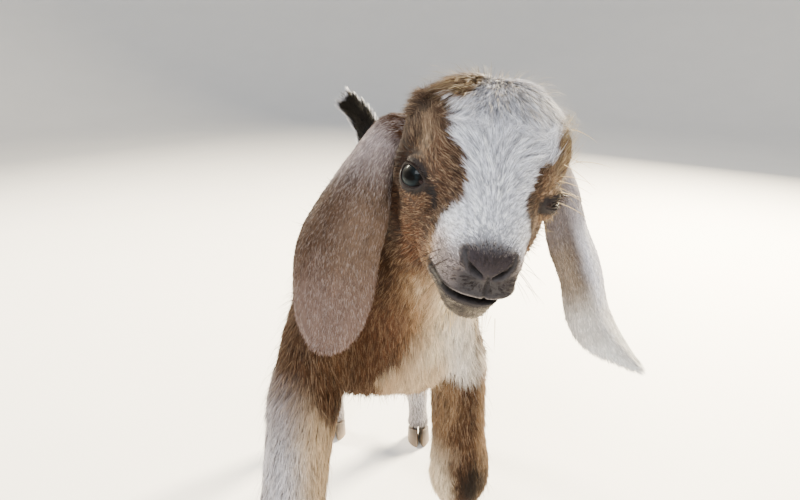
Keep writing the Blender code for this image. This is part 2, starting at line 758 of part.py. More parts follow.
def fringe():
    """The locks that edge the tail, each rooted inside it and lying towards its tip."""
    rows = carried(flat_rows(TAIL_SECTIONS), 4)
    along = np.gradient(rows[:, :3], axis=0)
    along /= np.linalg.norm(along, axis=1)[:, None]
    back = np.array([0.0, 1.0, 0.0])
    places = np.linspace(3, len(rows) - 5, FRINGE_ROWS).astype(int)
    for count, i in enumerate(places):
        across = np.cross(along[i], back)
        for side in (-1, 1):
            root = rows[i, :3] + side * across * rows[i, 3] * 0.5
            root = root + back * rows[i, 4] * (0.25 if (count + side) % 4 < 2 else -0.25)
            lie = along[i] + side * across * FRINGE_SPREAD
            length = FRINGE_LENGTH * (1 - FRINGE_SHORTENING * (count + (side > 0)))
            yield lock(root, lie, back, (along[i] - side * across) * FRINGE_BEND, length)
    yield lock(rows[-7, :3], along[-3], back, 0 * back, FRINGE_LENGTH)


def united(obj, pieces):
    """Fuses closed pieces with the object by one exact Boolean union on their collection."""
    group = bpy.data.collections.new("pieces")
    bpy.context.scene.collection.children.link(group)
    for bm in pieces:
        piece = object_from("piece", bm)
        bpy.context.scene.collection.objects.unlink(piece)
        group.objects.link(piece)
    modifier = obj.modifiers.new("Fuse", "BOOLEAN")
    modifier.operation = "UNION"
    modifier.operand_type = "COLLECTION"
    modifier.collection = group
    apply_modifiers(obj)
    for piece in list(group.objects):
        bpy.data.objects.remove(piece)
    bpy.data.collections.remove(group)


def build_tail(mantle):
    """The tail with its fringe, cut off where it meets the rump."""
    tail = object_from("tail", tube(TAIL_SECTIONS, sides=14), TAIL_COLOUR)
    united(tail, fringe())
    boolean(tail, swollen(mantle, "mantle", GAP), "DIFFERENCE")
    largest_surface(tail)


def build_feet(flesh):
    """Hoof claws and dewclaws on their own, and the flesh cut back to meet them."""
    for leg, (foot, fetlock) in feet().items():
        place = leg.replace("leg", "")
        boolean(flesh, below_coronet(foot), "DIFFERENCE")
        for side, mark in ((-1, "a"), (1, "b")):
            boolean(flesh, dewclaw("pocket", fetlock, side, GAP), "DIFFERENCE")
            object_from(f"hoof_{place}_{mark}", claw(foot, side), HOOF_COLOUR, 0.5)
            horn = dewclaw(f"dewclaw_{place}_{mark}", fetlock, side)
            dress(horn, HOOF_COLOUR, 0.5)


def main():
    """Builds the kid from an empty scene."""
    for obj in list(bpy.data.objects):
        bpy.data.objects.remove(obj)
    flesh = build_flesh()
    build_ears(flesh)
    build_tail(flesh)
    set_eyes(flesh)
    boolean(flesh, mouth_cutter(), "DIFFERENCE")
    for side in (-1, 1):
        boolean(flesh, nostril_cutter(side), "DIFFERENCE")
    build_feet(flesh)
    for cut in CUTS:
        boolean(flesh, slab(*cut), "DIFFERENCE")
    parted(flesh)
    for side, name in ((-1, "eye_right"), (1, "eye_left")):
        eye = ball(name, eye_frame(side), EYE_RADIUS)
        dress(eye, EYE_COLOUR, 0.1)
    for obj in bpy.data.objects:
        obj.data.transform(Matrix.Translation(ORIGIN_SHIFT))


if __name__ == "__main__":
    main()
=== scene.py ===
import logging
from collections.abc import Iterator
from contextlib import contextmanager
from dataclasses import dataclass, field
from enum import Enum
from typing import Any

import bmesh
import bpy
import numpy as np
from mathutils import Euler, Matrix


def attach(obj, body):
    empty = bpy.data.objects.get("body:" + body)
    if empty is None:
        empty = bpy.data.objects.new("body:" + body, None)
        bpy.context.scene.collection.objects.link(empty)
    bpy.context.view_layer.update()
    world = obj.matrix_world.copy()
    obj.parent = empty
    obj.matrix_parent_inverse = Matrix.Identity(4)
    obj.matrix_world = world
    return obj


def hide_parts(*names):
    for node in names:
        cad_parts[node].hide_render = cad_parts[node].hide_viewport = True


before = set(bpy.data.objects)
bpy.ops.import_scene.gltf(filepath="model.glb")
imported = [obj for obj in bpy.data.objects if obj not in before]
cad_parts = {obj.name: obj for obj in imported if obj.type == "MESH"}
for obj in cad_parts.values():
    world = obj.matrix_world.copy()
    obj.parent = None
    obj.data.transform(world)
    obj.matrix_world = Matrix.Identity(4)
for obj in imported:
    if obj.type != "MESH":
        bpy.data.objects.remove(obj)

Array = np.ndarray
Chance = np.random.Generator
Mesh = bpy.types.Mesh
Piece = bpy.types.Object
LOG = logging.getLogger("goat kid")
# Everything is worked out in the frame that the body was laid out in; this moves it to the row's frame.
ORIGIN = np.array([0.0020, 0.0013, 0.0])
FLESH = ("head", "neck", "torso", "foreleg_left", "foreleg_right", "hindleg_left", "hindleg_right")
# Corners of a solid's loose triangles that are nearer than this are merged.
MERGE = 1e-6
# The most hairs in one coat piece, which keeps it under 200,000 triangles.
MOST_HAIRS = 60000
# Half the width of a hair's patch on the unwrap, and the edge that patches keep clear.
PATCH = 0.0015
EDGE = 0.004


# Small sums on whole arrays


def unit(vectors: Array) -> Array:
    """The vectors at length one, row by row."""
    return vectors / np.maximum(np.linalg.norm(vectors, axis=-1, keepdims=True), 1e-9)


def along_skin(ways: Array, normal: Array, share: Any = 1.0) -> Array:
    """Directions less the part of them that points out of the skin, or less a share of that part."""
    return ways - normal * np.sum(ways * normal, axis=1)[:, None] * share


def ease(low: Any, high: Any, value: Array) -> Array:
    """0 before low and 1 after high, with a soft S between them; low may lie above high."""
    t = np.clip((value - low) / (np.asarray(high) - low), 0.0, 1.0)
    return t * t * (3.0 - 2.0 * t)


def bell(value: Array, width: float) -> Array:
    """1 at zero, falling away on both sides like a bell of the given width."""
    return np.exp(-((value / width) ** 2))


def blob(points: Array, centre: tuple, radii: tuple) -> Array:
    """A soft lump of weight, 1 at its centre, with its own reach along each axis."""
    return np.exp(-np.sum(((points - np.array(centre)) / np.array(radii)) ** 2, axis=-1))


def lumps(points: Array, rows: tuple) -> Array:
    """The sum of soft lumps, each row a centre and its reach along each axis."""
    return sum(blob(points, centre, radii) for centre, radii in rows)


def read_off(value: Array, rows: Any) -> Array:
    """Numbers read off rows of place and number, straight between them."""
    return np.interp(value, *np.array(rows).T)


def mixed(base: Array, other: Array, share: Array) -> Array:
    """Rows of base gone over to other by a share from 0 to 1; base or other may be one colour for all."""
    return base + (other - base) * share[:, None]


def turn_share(sine: Array, cosine: Array) -> Array:
    """A direction round an axis, as a share from 0 to 1 of a full turn."""
    return np.arctan2(sine, cosine) / (2 * np.pi) + 0.5


def on_map(u: Array, v: Array) -> Array:
    """Places on an unwrap, kept clear of its edges."""
    return np.clip(np.stack([u, v], axis=1), EDGE, 1.0 - EDGE)


def drawn(cells: Array, seed: int) -> Array:
    """A random number from 0 to 1 for each whole-number cell, always the same for the same cell and seed."""
    mash = cells[:, 0] * 73856093 ^ cells[:, 1] * 19349663 ^ cells[:, 2] * 83492791 ^ (seed * 7919 + 17)
    mash = (mash ^ (mash >> 13)) * 1274126177 & 0x7FFFFFFF
    mash = (mash ^ (mash >> 11)) * 69069 & 0x7FFFFFFF
    return (mash >> 7) % 8191 / 8190.0


def grain(points: Array, size: float, seed: int = 0) -> Array:
    """Smooth random values from -1 to 1: hashed values at the corners of cubes, eased between.

    Args:
        points: places in metres, one a row.
        size: side of a cube, which is how far the values reach before they change.
        seed: picks another set of values.

    Returns:
        One value for each place.
    """
    scaled = points / size
    cell = np.floor(scaled).astype(np.int64)
    part = scaled - cell
    part = part * part * (3.0 - 2.0 * part)
    total = np.zeros(len(points))
    for corner in np.ndindex(2, 2, 2):
        value = 2.0 * drawn(cell + np.array(corner), seed) - 1.0
        total += value * np.prod(np.where(np.array(corner) == 1, part, 1.0 - part), axis=1)
    return total


def lock_of(points: Array, size: float, seed: int) -> tuple[Array, Array]:
    """Finds the lock that each hair belongs to: the nearest of centres scattered one to a cube of space.

    Args:
        points: the hairs' roots.
        size: side of a cube, which is about how wide a lock is.
        seed: picks another scatter.

    Returns:
        Each root's lock centre, and that lock's own random number.
    """
    cell = np.floor(points / size).astype(np.int64)
    best = np.full(len(points), np.inf)
    centre, chance = np.zeros_like(points), np.zeros(len(points))
    for step in np.ndindex(3, 3, 3):
        spot = cell + np.array(step) - 1
        place = (spot + np.stack([drawn(spot, seed + i) for i in range(3)], axis=1)) * size
        gap = np.sum((points - place) ** 2, axis=1)
        nearer = gap < best
        best[nearer], centre[nearer] = gap[nearer], place[nearer]
        chance[nearer] = drawn(spot[nearer], seed + 3)
    return centre, chance


def shade(code: str) -> Array:
    """A colour given as six hex figures, turned from screen values to light."""
    value = np.array([int(code[i : i + 2], 16) for i in (0, 2, 4)]) / 255.0
    return np.where(value <= 0.04045, value / 12.92, ((value + 0.055) / 1.055) ** 2.4)


def near_path(points: Array, path: Array) -> tuple[Array, Array, Array]:
    """How far each point is from a path of straight pieces.

    Args:
        points: places, one a row.
        path: the path's own points in order.

    Returns:
        The distance, the share of the path passed, and the direction of the piece that is nearest.
    """
    start, step = path[:-1], np.diff(path, axis=0)
    length = np.linalg.norm(step, axis=1)
    along = np.einsum("nsk,sk->ns", points[:, None] - start, step) / length**2
    along = np.clip(along, 0.0, 1.0)
    gap = np.linalg.norm(points[:, None] - (start + along[..., None] * step), axis=2)
    best = gap.argmin(axis=1)
    rows = np.arange(len(points))
    passed = np.concatenate([[0.0], np.cumsum(length)])
    share = (passed[best] + along[rows, best] * length[best]) / passed[-1]
    return gap[rows, best], share, unit(step)[best]


def carried(rows: Any, per_span: int) -> Array:
    """Rows of numbers carried smoothly through every given row by a Catmull-Rom curve."""
    rows = np.array(rows, float)
    padded = np.vstack([2 * rows[0] - rows[1], rows, 2 * rows[-1] - rows[-2]])
    t = np.linspace(0, 1, per_span, endpoint=False)[:, None]
    a, b, c, d = (padded[i : len(padded) - 3 + i, None] for i in range(4))
    spans = 0.5 * (2 * b + (c - a) * t + (2 * a - 5 * b + 4 * c - d) * t**2 + (3 * b - a - 3 * c + d) * t**3)
    return np.vstack([spans.reshape(-1, rows.shape[1]), rows[-1:]])


# Meshes from arrays and back


def placed(name: str, data: Any) -> Piece:
    """A new object with its mesh, lamp or camera, put in the scene."""
    made = bpy.data.objects.new(name, data)
    bpy.context.scene.collection.objects.link(made)
    return made


def in_row(points: Array) -> Array:
    """Laid-out places as one flat run of numbers in the row's frame."""
    return (points + ORIGIN).astype(np.float32).ravel()


def mesh_piece(name: str, points: Array, corners: Array) -> Piece:
    """A smoothly shaded piece from its points and its faces, all with the same number of corners.

    Args:
        name: the piece's name.
        points: places in the laid-out frame.
        corners: point numbers, one face a row.

    Returns:
        The new object, at the origin.
    """
    count, sides = corners.shape
    mesh = bpy.data.meshes.new(name)
    mesh.vertices.add(len(points))
    mesh.vertices.foreach_set("co", in_row(points))
    mesh.loops.add(count * sides)
    mesh.loops.foreach_set("vertex_index", corners.astype(np.int32).ravel())
    mesh.polygons.add(count)
    mesh.polygons.foreach_set("loop_start", np.arange(0, count * sides, sides, dtype=np.int32))
    mesh.update(calc_edges=True)
    mesh.shade_smooth()
    return placed(name, mesh)


def gathered(rows: Any, key: str, width: int, kind: type) -> Array:
    """One property of every point, edge or triangle of a mesh, a row each."""
    flat = np.empty(len(rows) * width, kind)
    rows.foreach_get(key, flat)
    return flat.reshape(-1, width)


def points_of(mesh: Mesh) -> Array:
    """The places of a mesh's points."""
    return gathered(mesh.vertices, "co", 3, np.float32).astype(float) - ORIGIN


def normals_of(mesh: Mesh) -> Array:
    """The outward directions at a mesh's points."""
    return gathered(mesh.vertex_normals, "vector", 3, np.float32).astype(float)


def triangles_of(mesh: Mesh) -> Array:
    """A mesh's faces cut into triangles, as point numbers."""
    mesh.calc_loop_triangles()
    return gathered(mesh.loop_triangles, "vertices", 3, np.int32)


def edges_of(mesh: Mesh) -> Array:
    """A mesh's edges, as pairs of point numbers."""
    return gathered(mesh.edges, "vertices", 2, np.int32)


def move_points(mesh: Mesh, points: Array) -> None:
    """Puts a mesh's points at new places."""
    mesh.vertices.foreach_set("co", in_row(points))
    mesh.update()


def relaxed(values: Array, edges: Array, share: Any, times: int) -> Array:
    """Each row drawn towards the mean of its neighbours, over and over.

    Args:
        values: one row for each point of the mesh.
        edges: pairs of point numbers.
        share: how far a row moves each time, one number or one for each point.
        times: how often.

    Returns:
        The smoothed rows.
    """
    both = np.vstack([edges, edges[:, ::-1]])
    order = both[:, 0].argsort(kind="stable")
    here, there = both[order].T
    count = np.bincount(here, minlength=len(values))
    starts = np.concatenate([[0], np.cumsum(count)[:-1]])
    share = np.broadcast_to(np.asarray(share, float), (len(values),))[:, None]
    for _ in range(times):
        mean = np.add.reduceat(values[there], starts, axis=0) / count[:, None]
        values = values + share * (mean - values)
    return values


def paint(mesh: Mesh, name: str, colour: Array) -> None:
    """Keeps one colour for each point in the mesh."""
    layer = mesh.color_attributes.new(name, "FLOAT_COLOR", "POINT")
    opaque = np.hstack([colour, np.ones((len(colour), 1))])
    layer.data.foreach_set("color", opaque.astype(np.float32).ravel())


def keep_value(mesh: Mesh, name: str, value: Array) -> None:
    """Keeps one number for each point in the mesh."""
    layer = mesh.attributes.new(name, "FLOAT", "POINT")
    layer.data.foreach_set("value", value.astype(np.float32))


def baked(piece: Piece) -> None:
    """Replaces the piece's mesh by what its modifiers make of it."""
    graph = bpy.context.evaluated_depsgraph_get()
    mesh = bpy.data.meshes.new_from_object(piece.evaluated_get(graph))
    piece.modifiers.clear()
    piece.data = mesh


@contextmanager
def opened(mesh: Mesh, into: Mesh | None = None) -> Iterator[bmesh.types.BMesh]:
    """Opens a mesh for work on its faces; the result goes back into it, or into another mesh."""
    bm = bmesh.new()
    bm.from_mesh(mesh)
    yield bm
    bm.to_mesh(mesh if into is None else into)
    bm.free()


def merged_copy(node: str, name: str) -> Mesh:
    """A copy of a solid's mesh in which its loose triangles share their points."""
    copy = bpy.data.meshes.new(name)
    with opened(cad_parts[node].data, copy) as bm:
        bmesh.ops.remove_doubles(bm, verts=bm.verts, dist=MERGE)
    return copy


def turn_outwards(mesh: Mesh) -> None:
    """Turns the faces of a closed mesh outwards."""
    with opened(mesh) as bm:
        bmesh.ops.recalc_face_normals(bm, faces=bm.faces)


def ring_quads(rings: int, sides: int, closed: bool = False) -> Array:
    """Squares between neighbouring rings of points.

    Args:
        rings: how many rings there are, numbered on from one to the next.
        sides: points in a ring.
        closed: joins the last ring to the first.

    Returns:
        Four point numbers a row: a point, the next on its ring, and the two beyond them on the next ring.
    """
    ring, side = np.meshgrid(np.arange(rings if closed else rings - 1), np.arange(sides), indexing="ij")
    here, beyond = ring * sides, (ring + 1) % rings * sides
    turned = (side + 1) % sides
    return np.stack([here + side, here + turned, beyond + turned, beyond + side], axis=-1).reshape(-1, 4)


def ring_triangles(rings: int, sides: int) -> Array:
    """The squares between rings, turned over and cut in two."""
    quads = ring_quads(rings, sides)
    return np.vstack([quads[:, [0, 3, 2]], quads[:, [0, 2, 1]]])


def fan(tip: int, first: int, sides: int) -> Array:
    """Triangles from one point to a ring that starts at a number: tip, point, next point."""
    order = first + np.arange(sides)
    return np.stack([np.full(sides, tip), order, np.roll(order, -1)], axis=1)


def tube_piece(name: str, paths: Array, radii: Array, sides: int, closed: bool = False) -> Piece:
    """Round tubes along many paths at once: a ring of points square to the path at each step.

    Args:
        name: the piece's name.
        paths: places, shaped tubes by steps by 3.
        radii: the tube's radius, shaped tubes by steps.
        sides: points in a ring.
        closed: joins the last ring to the first.

    Returns:
        One object with all the tubes.
    """
    tubes, steps = radii.shape
    if closed:
        along = np.roll(paths, -1, axis=1) - np.roll(paths, 1, axis=1)
    else:
        along = np.gradient(paths, axis=1)
    along = unit(along)
    helper = np.where(np.abs(along[..., 2:3]) < 0.8, [[[0.0, 0.0, 1.0]]], [[[1.0, 0.0, 0.0]]])
    first = unit(np.cross(along, helper))
    second = np.cross(along, first)
    turn = np.linspace(0, 2 * np.pi, sides, endpoint=False)[:, None]
    ring = first[:, :, None] * np.cos(turn) + second[:, :, None] * np.sin(turn)
    points = (paths[:, :, None] + ring * radii[:, :, None, None]).reshape(-1, 3)
    starts = np.arange(tubes)[:, None, None] * steps * sides
    return mesh_piece(name, points, (starts + ring_quads(steps, sides, closed)).reshape(-1, 4))


# Materials


class Wire:
    """One shader socket that takes part in sums; each operator adds a Math node."""

    def __init__(self, sheet: "Sheet", socket: Any) -> None:
        """Wraps a socket of the sheet."""
        self.sheet = sheet
        self.socket = socket

    def _math(self, operation: str, *values: Any) -> "Wire":
        """A Math node on the values, as a new wire."""
        return self.sheet.node("ShaderNodeMath", {"operation": operation}, dict(enumerate(values)))

    def __add__(self, other: Any) -> "Wire":
        """Sum."""
        return self._math("ADD", self, other)

    def __radd__(self, other: Any) -> "Wire":
        """Sum, from the right."""
        return self._math("ADD", other, self)

    def __sub__(self, other: Any) -> "Wire":
        """Difference."""
        return self._math("SUBTRACT", self, other)

    def __rsub__(self, other: Any) -> "Wire":
        """Difference, from the right."""
        return self._math("SUBTRACT", other, self)

    def __mul__(self, other: Any) -> "Wire":
        """Product."""
        return self._math("MULTIPLY", self, other)

    def __rmul__(self, other: Any) -> "Wire":
        """Product, from the right."""
        return self._math("MULTIPLY", other, self)


class Sheet:
    """The node sheet of one material."""

    def __init__(self, name: str) -> None:
        """Starts a material with an empty sheet and its output."""
        self.material = bpy.data.materials.new(name)
        self.material.use_nodes = True
        self.tree = self.material.node_tree
        self.tree.nodes.clear()
        self.output = self.tree.nodes.new("ShaderNodeOutputMaterial")

    def node(self, kind: str, settings: dict | None = None, inputs: dict | None = None, out: Any = 0) -> Wire:
        """Adds any node.

        Args:
            kind: the node's type.
            settings: its own settings, set first.
            inputs: values or wires for its sockets, by name or number.
            out: the output socket to hand on, by name or number.

        Returns:
            The output socket as a wire.
        """
        made = self.tree.nodes.new(kind)
        for key, value in (settings or {}).items():
            setattr(made, key, value)
        for key, value in (inputs or {}).items():
            if isinstance(value, Wire):
                self.tree.links.new(value.socket, made.inputs[key])
            else:
                made.inputs[key].default_value = value
        return Wire(self, made.outputs[out])

    def places(self) -> Wire:
        """Object coordinates."""
        return self.node("ShaderNodeTexCoord", out="Object")

    def noise(self, scale: float, detail: float = 3.0) -> Wire:
        """Noise over the object's own places."""
        sockets = {"Vector": self.places(), "Scale": scale, "Detail": detail}
        return self.node("ShaderNodeTexNoise", {}, sockets, "Fac")

    def kept(self, name: str, out: str = "Color") -> Wire:
        """A colour or number kept in the mesh."""
        return self.node("ShaderNodeAttribute", {"attribute_name": name}, {}, out)

    def tinted(self, colour: Wire, factor: Wire) -> Wire:
        """A colour made lighter or darker by a number."""
        grey = self.node("ShaderNodeCombineXYZ", {}, {0: factor, 1: factor, 2: factor})
        return self.node("ShaderNodeVectorMath", {"operation": "MULTIPLY"}, {0: colour, 1: grey})

    def blended(self, share: Any, first: Any, second: Any) -> Wire:
        """A colour between two others; the Mix node's colour sockets are its sixth and seventh."""
        return self.node("ShaderNodeMix", {"data_type": "RGBA"}, {0: share, 6: first, 7: second}, 2)

    def bump(self, height: Wire, strength: float, distance: float) -> Wire:
        """Turns a height into a tilt of the surface."""
        sockets = {"Strength": strength, "Distance": distance, "Height": height}
        return self.node("ShaderNodeBump", {}, sockets)

    def finish(self, **inputs: Any) -> bpy.types.Material:
        """Ends in a Principled shader with the given sockets; words join by a single line below."""
        sockets = {key.replace("_", " "): value for key, value in inputs.items()}
        shader = self.node("ShaderNodeBsdfPrincipled", {}, sockets)
        self.tree.links.new(shader.socket, self.output.inputs["Surface"])
        return self.material


def opaque(code: str, factor: float = 1.0) -> tuple:
    """A colour given as six hex figures, made lighter or darker, as a socket takes it."""
    return (*(shade(code) * factor), 1.0)


@dataclass(frozen=True)
class HairFinish:
    """Hair: the colour kept in the mesh, a little uneven along each hair, with a faint gloss."""

    name: str
    roughness: float = 0.60
    fine: float = 420.0
    gloss: float = 0.12

    def make(self) -> bpy.types.Material:
        """Builds the material."""
        sheet = Sheet(self.name)
        uneven = sheet.noise(self.fine, 2.0) * 0.22 + 0.89
        return sheet.finish(
            Base_Color=sheet.tinted(sheet.kept("Coat"), uneven),
            Roughness=self.roughness,
            Specular_IOR_Level=self.gloss,
        )


@dataclass(frozen=True)
class SkinFinish:
    """Skin under the coat, and bare pebbled leather where no hair grows."""

    name: str = "skin"
    mottle: float = 260.0
    pebble: float = 900.0
    pore: float = 700.0
    depth: float = 0.0004

    def make(self) -> bpy.types.Material:
        """Builds the material."""
        sheet = Sheet(self.name)
        bare = sheet.kept("Bare", "Fac")
        uneven = sheet.noise(self.mottle, 4.0) * 0.30 + 0.85
        pebbles = sheet.node(
            "ShaderNodeTexVoronoi",
            {"feature": "SMOOTH_F1"},
            {"Vector": sheet.places(), "Scale": self.pebble, "Smoothness": 0.6},
            "Distance",
        )
        height = pebbles * bare + sheet.noise(self.pore) * 0.5
        return sheet.finish(
            Base_Color=sheet.tinted(sheet.kept("Coat"), uneven),
            Roughness=0.80 - bare * 0.12,
            Normal=sheet.bump(height, 0.60, self.depth),
            Specular_IOR_Level=0.30,
        )


@dataclass(frozen=True)
class EyeFinish:
    """Eyeball: painted iris under a wet clear coat."""

    name: str
    coat: float
    streak: float = 900.0

    def make(self) -> bpy.types.Material:
        """Builds the material."""
        sheet = Sheet(self.name)
        streaks = sheet.noise(self.streak) * 0.5 + 0.75
        return sheet.finish(
            Base_Color=sheet.tinted(sheet.kept("Coat"), streaks),
            Roughness=0.50,
            Coat_Weight=self.coat,
            Coat_Roughness=0.03,
            Coat_IOR=1.34,
            Specular_IOR_Level=0.03,
        )


@dataclass(frozen=True)
class WetFinish:
    """Moist bare skin: lid margins and the inner corner of the eye."""

    name: str
    colour: str
    roughness: float = 0.42
    mottle: float = 800.0
    pore: float = 1500.0

    def make(self) -> bpy.types.Material:
        """Builds the material."""
        sheet = Sheet(self.name)
        dark, light = opaque(self.colour, 0.75), opaque(self.colour, 1.25)
        return sheet.finish(
            Base_Color=sheet.blended(sheet.noise(self.mottle), dark, light),
            Roughness=self.roughness,
            Coat_Weight=0.04,
            Coat_Roughness=0.25,
            Specular_IOR_Level=0.10,
            Normal=sheet.bump(sheet.noise(self.pore), 0.25, 0.0003),
        )


@dataclass(frozen=True)
class HornFinish:
    """Hoof horn: dark, with fine growth rings that run round the claw and a paler, worn toe."""

    name: str = "horn"
    dark: str = "3A2F28"
    pale: str = "5E5044"
    worn: str = "A08C74"
    ring: float = 210.0
    patch: float = 160.0
    worn_height: float = 0.016

    def make(self) -> bpy.types.Material:
        """Builds the material."""
        sheet = Sheet(self.name)
        rings = sheet.node(
            "ShaderNodeTexWave",
            {"wave_type": "BANDS", "bands_direction": "Z"},
            {"Vector": sheet.places(), "Scale": self.ring, "Distortion": 2.5, "Detail": 2.0},
            "Fac",
        )
        height = sheet.node("ShaderNodeSeparateXYZ", {}, {0: sheet.places()}, 2)
        span = {0: height, 1: 0.0, 2: self.worn_height, 3: 0.75, 4: 0.0}
        worn = sheet.node("ShaderNodeMapRange", {}, span)
        patchy = sheet.noise(self.patch, 4.0)
        base = sheet.blended(patchy, opaque(self.dark), opaque(self.pale))
        colour = sheet.blended(worn * (patchy + 0.35), base, opaque(self.worn))
        return sheet.finish(
            Base_Color=sheet.tinted(colour, rings * 0.25 + 0.85),
            Roughness=patchy * 0.25 + 0.34,
            Normal=sheet.bump(rings + patchy * 0.6, 0.35, 0.0004),
            Specular_IOR_Level=0.5,
        )


@dataclass(frozen=True)
class FloorFinish:
    """Pale floor and backdrop."""

    name: str = "floor"
    low: tuple = (0.78, 0.77, 0.75, 1.0)
    high: tuple = (0.83, 0.82, 0.80, 1.0)
    cloud: float = 6.0

    def make(self) -> bpy.types.Material:
        """Builds the material."""
        sheet = Sheet(self.name)
        tone = sheet.blended(sheet.noise(self.cloud), self.low, self.high)
        return sheet.finish(Base_Color=tone, Roughness=0.75)


def dressed(piece: Piece, finish: bpy.types.Material, slot: str, *nodes: str) -> Piece:
    """Gives a piece its material, hangs it on the root body and hides the solids that it replaces.

    Args:
        piece: the piece, which rides on the part's one body.
        finish: its material.
        slot: the material slot's name; not used.
        nodes: the solids that it replaces, if any.

    Returns:
        The same piece.
    """
    piece.data.materials.clear()
    piece.data.materials.append(finish)
    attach(piece, "root")
    if nodes:
        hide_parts(*nodes)
    return piece


# The kid's build: places that the solids were laid out by, in the frame of that layout


@dataclass(frozen=True)
class HeadFrame:
    """The head's own frame: origin midway between the eyes, nose at -Y, crown at +Z."""

    place: tuple = (0.0146, -0.1878, 0.4020)
    yaw: float = -5.5
    pitch: float = 10.0
    roll: float = 11.0

    @property
    def turn(self) -> Array:
        """The frame's three directions as columns: first rolled, then pitched, then yawed."""
        yaw, pitch, roll = np.radians([self.yaw, self.pitch, self.roll])
        about_z = [[np.cos(yaw), -np.sin(yaw), 0], [np.sin(yaw), np.cos(yaw), 0], [0, 0, 1]]
        about_x = [[1, 0, 0], [0, np.cos(pitch), -np.sin(pitch)], [0, np.sin(pitch), np.cos(pitch)]]
        about_y = [[np.cos(roll), 0, np.sin(roll)], [0, 1, 0], [-np.sin(roll), 0, np.cos(roll)]]
        return np.array(about_z) @ np.array(about_x) @ np.array(about_y)

    def into(self, points: Array) -> Array:
        """Laid-out places as head places."""
        return (points - np.array(self.place)) @ self.turn

    def out(self, points: Array) -> Array:
        """Head places as laid-out places."""
        return points @ self.turn.T + np.array(self.place)

    def aim_into(self, aims: Array) -> Array:
        """Laid-out directions as head directions."""
        return aims @ self.turn

    def aim_out(self, aims: Array) -> Array:
        """Head directions as laid-out directions."""
        return aims @ self.turn.T


HEAD = HeadFrame()

# Lines along the middle of neck, trunk and legs.
GUIDE_POINTS = {
    "neck": (
        (0.0142, -0.1514, 0.405), (0.0052, -0.1334, 0.380), (-0.0088, -0.1084, 0.352),
        (-0.0208, -0.0764, 0.325), (-0.0248, -0.0364, 0.308),
    ),
    "trunk": (
        (-0.0268, -0.1064, 0.288), (-0.0268, -0.0314, 0.297), (-0.0268, 0.0786, 0.296),
        (-0.0268, 0.1886, 0.314), (-0.0268, 0.2366, 0.313),
    ),
    "foreleg_left": (
        (0.0152, -0.0734, 0.300), (0.0262, -0.0734, 0.225), (0.0282, -0.0814, 0.150),
        (0.0282, -0.0774, 0.085), (0.0282, -0.0924, 0.012),
    ),
    "foreleg_right": (
        (-0.0688, -0.0864, 0.300), (-0.0888, -0.1214, 0.225), (-0.0988, -0.1534, 0.150),
        (-0.1038, -0.1594, 0.085), (-0.1078, -0.1794, 0.012),
    ),
    "hindleg_left": (
        (0.0032, 0.1606, 0.320), (0.0232, 0.1418, 0.250), (0.0262, 0.1624, 0.212),
        (0.0242, 0.2043, 0.155), (0.0242, 0.1959, 0.090), (0.0242, 0.1723, 0.012),
    ),
    "hindleg_right": (
        (-0.0568, 0.1606, 0.320), (-0.0768, 0.1469, 0.250), (-0.0798, 0.1701, 0.212),
        (-0.0778, 0.2158, 0.155), (-0.0778, 0.2118, 0.090), (-0.0778, 0.1930, 0.012),
    ),
}
GUIDES = {name: np.array(rows) for name, rows in GUIDE_POINTS.items()}
LEGS = ("foreleg_left", "foreleg_right", "hindleg_left", "hindleg_right")
LEG_REACH = 0.028


@dataclass
class Lay:
    """Where a set of places is on the body: in the head's frame and along each limb."""

    points: Array
    head: Array = field(init=False)
    is_head: Array = field(init=False)
    leg: dict = field(init=False)
    leg_share: dict = field(init=False)

    def __post_init__(self) -> None:
        """Works out the shares: the head by the plane behind the jaw, legs by how near their lines are."""
        self.head = HEAD.into(self.points)
        plane = unit(np.array([0.10, -0.93, 0.36]))
        depth = (self.points - np.array([0.0092, -0.1354, 0.3950])) @ plane
        height = self.points[:, 2]
        self.is_head = ease(-0.010, 0.008, depth) * ease(0.32, 0.335, height)
        self.leg, self.leg_share = {}, {}
        for name in LEGS:
            gap, share, _ = near_path(self.points, GUIDES[name])
            self.leg[name] = ease(2.1 * LEG_REACH, 0.9 * LEG_REACH, gap) * ease(0.275, 0.235, height)
            self.leg_share[name] = share


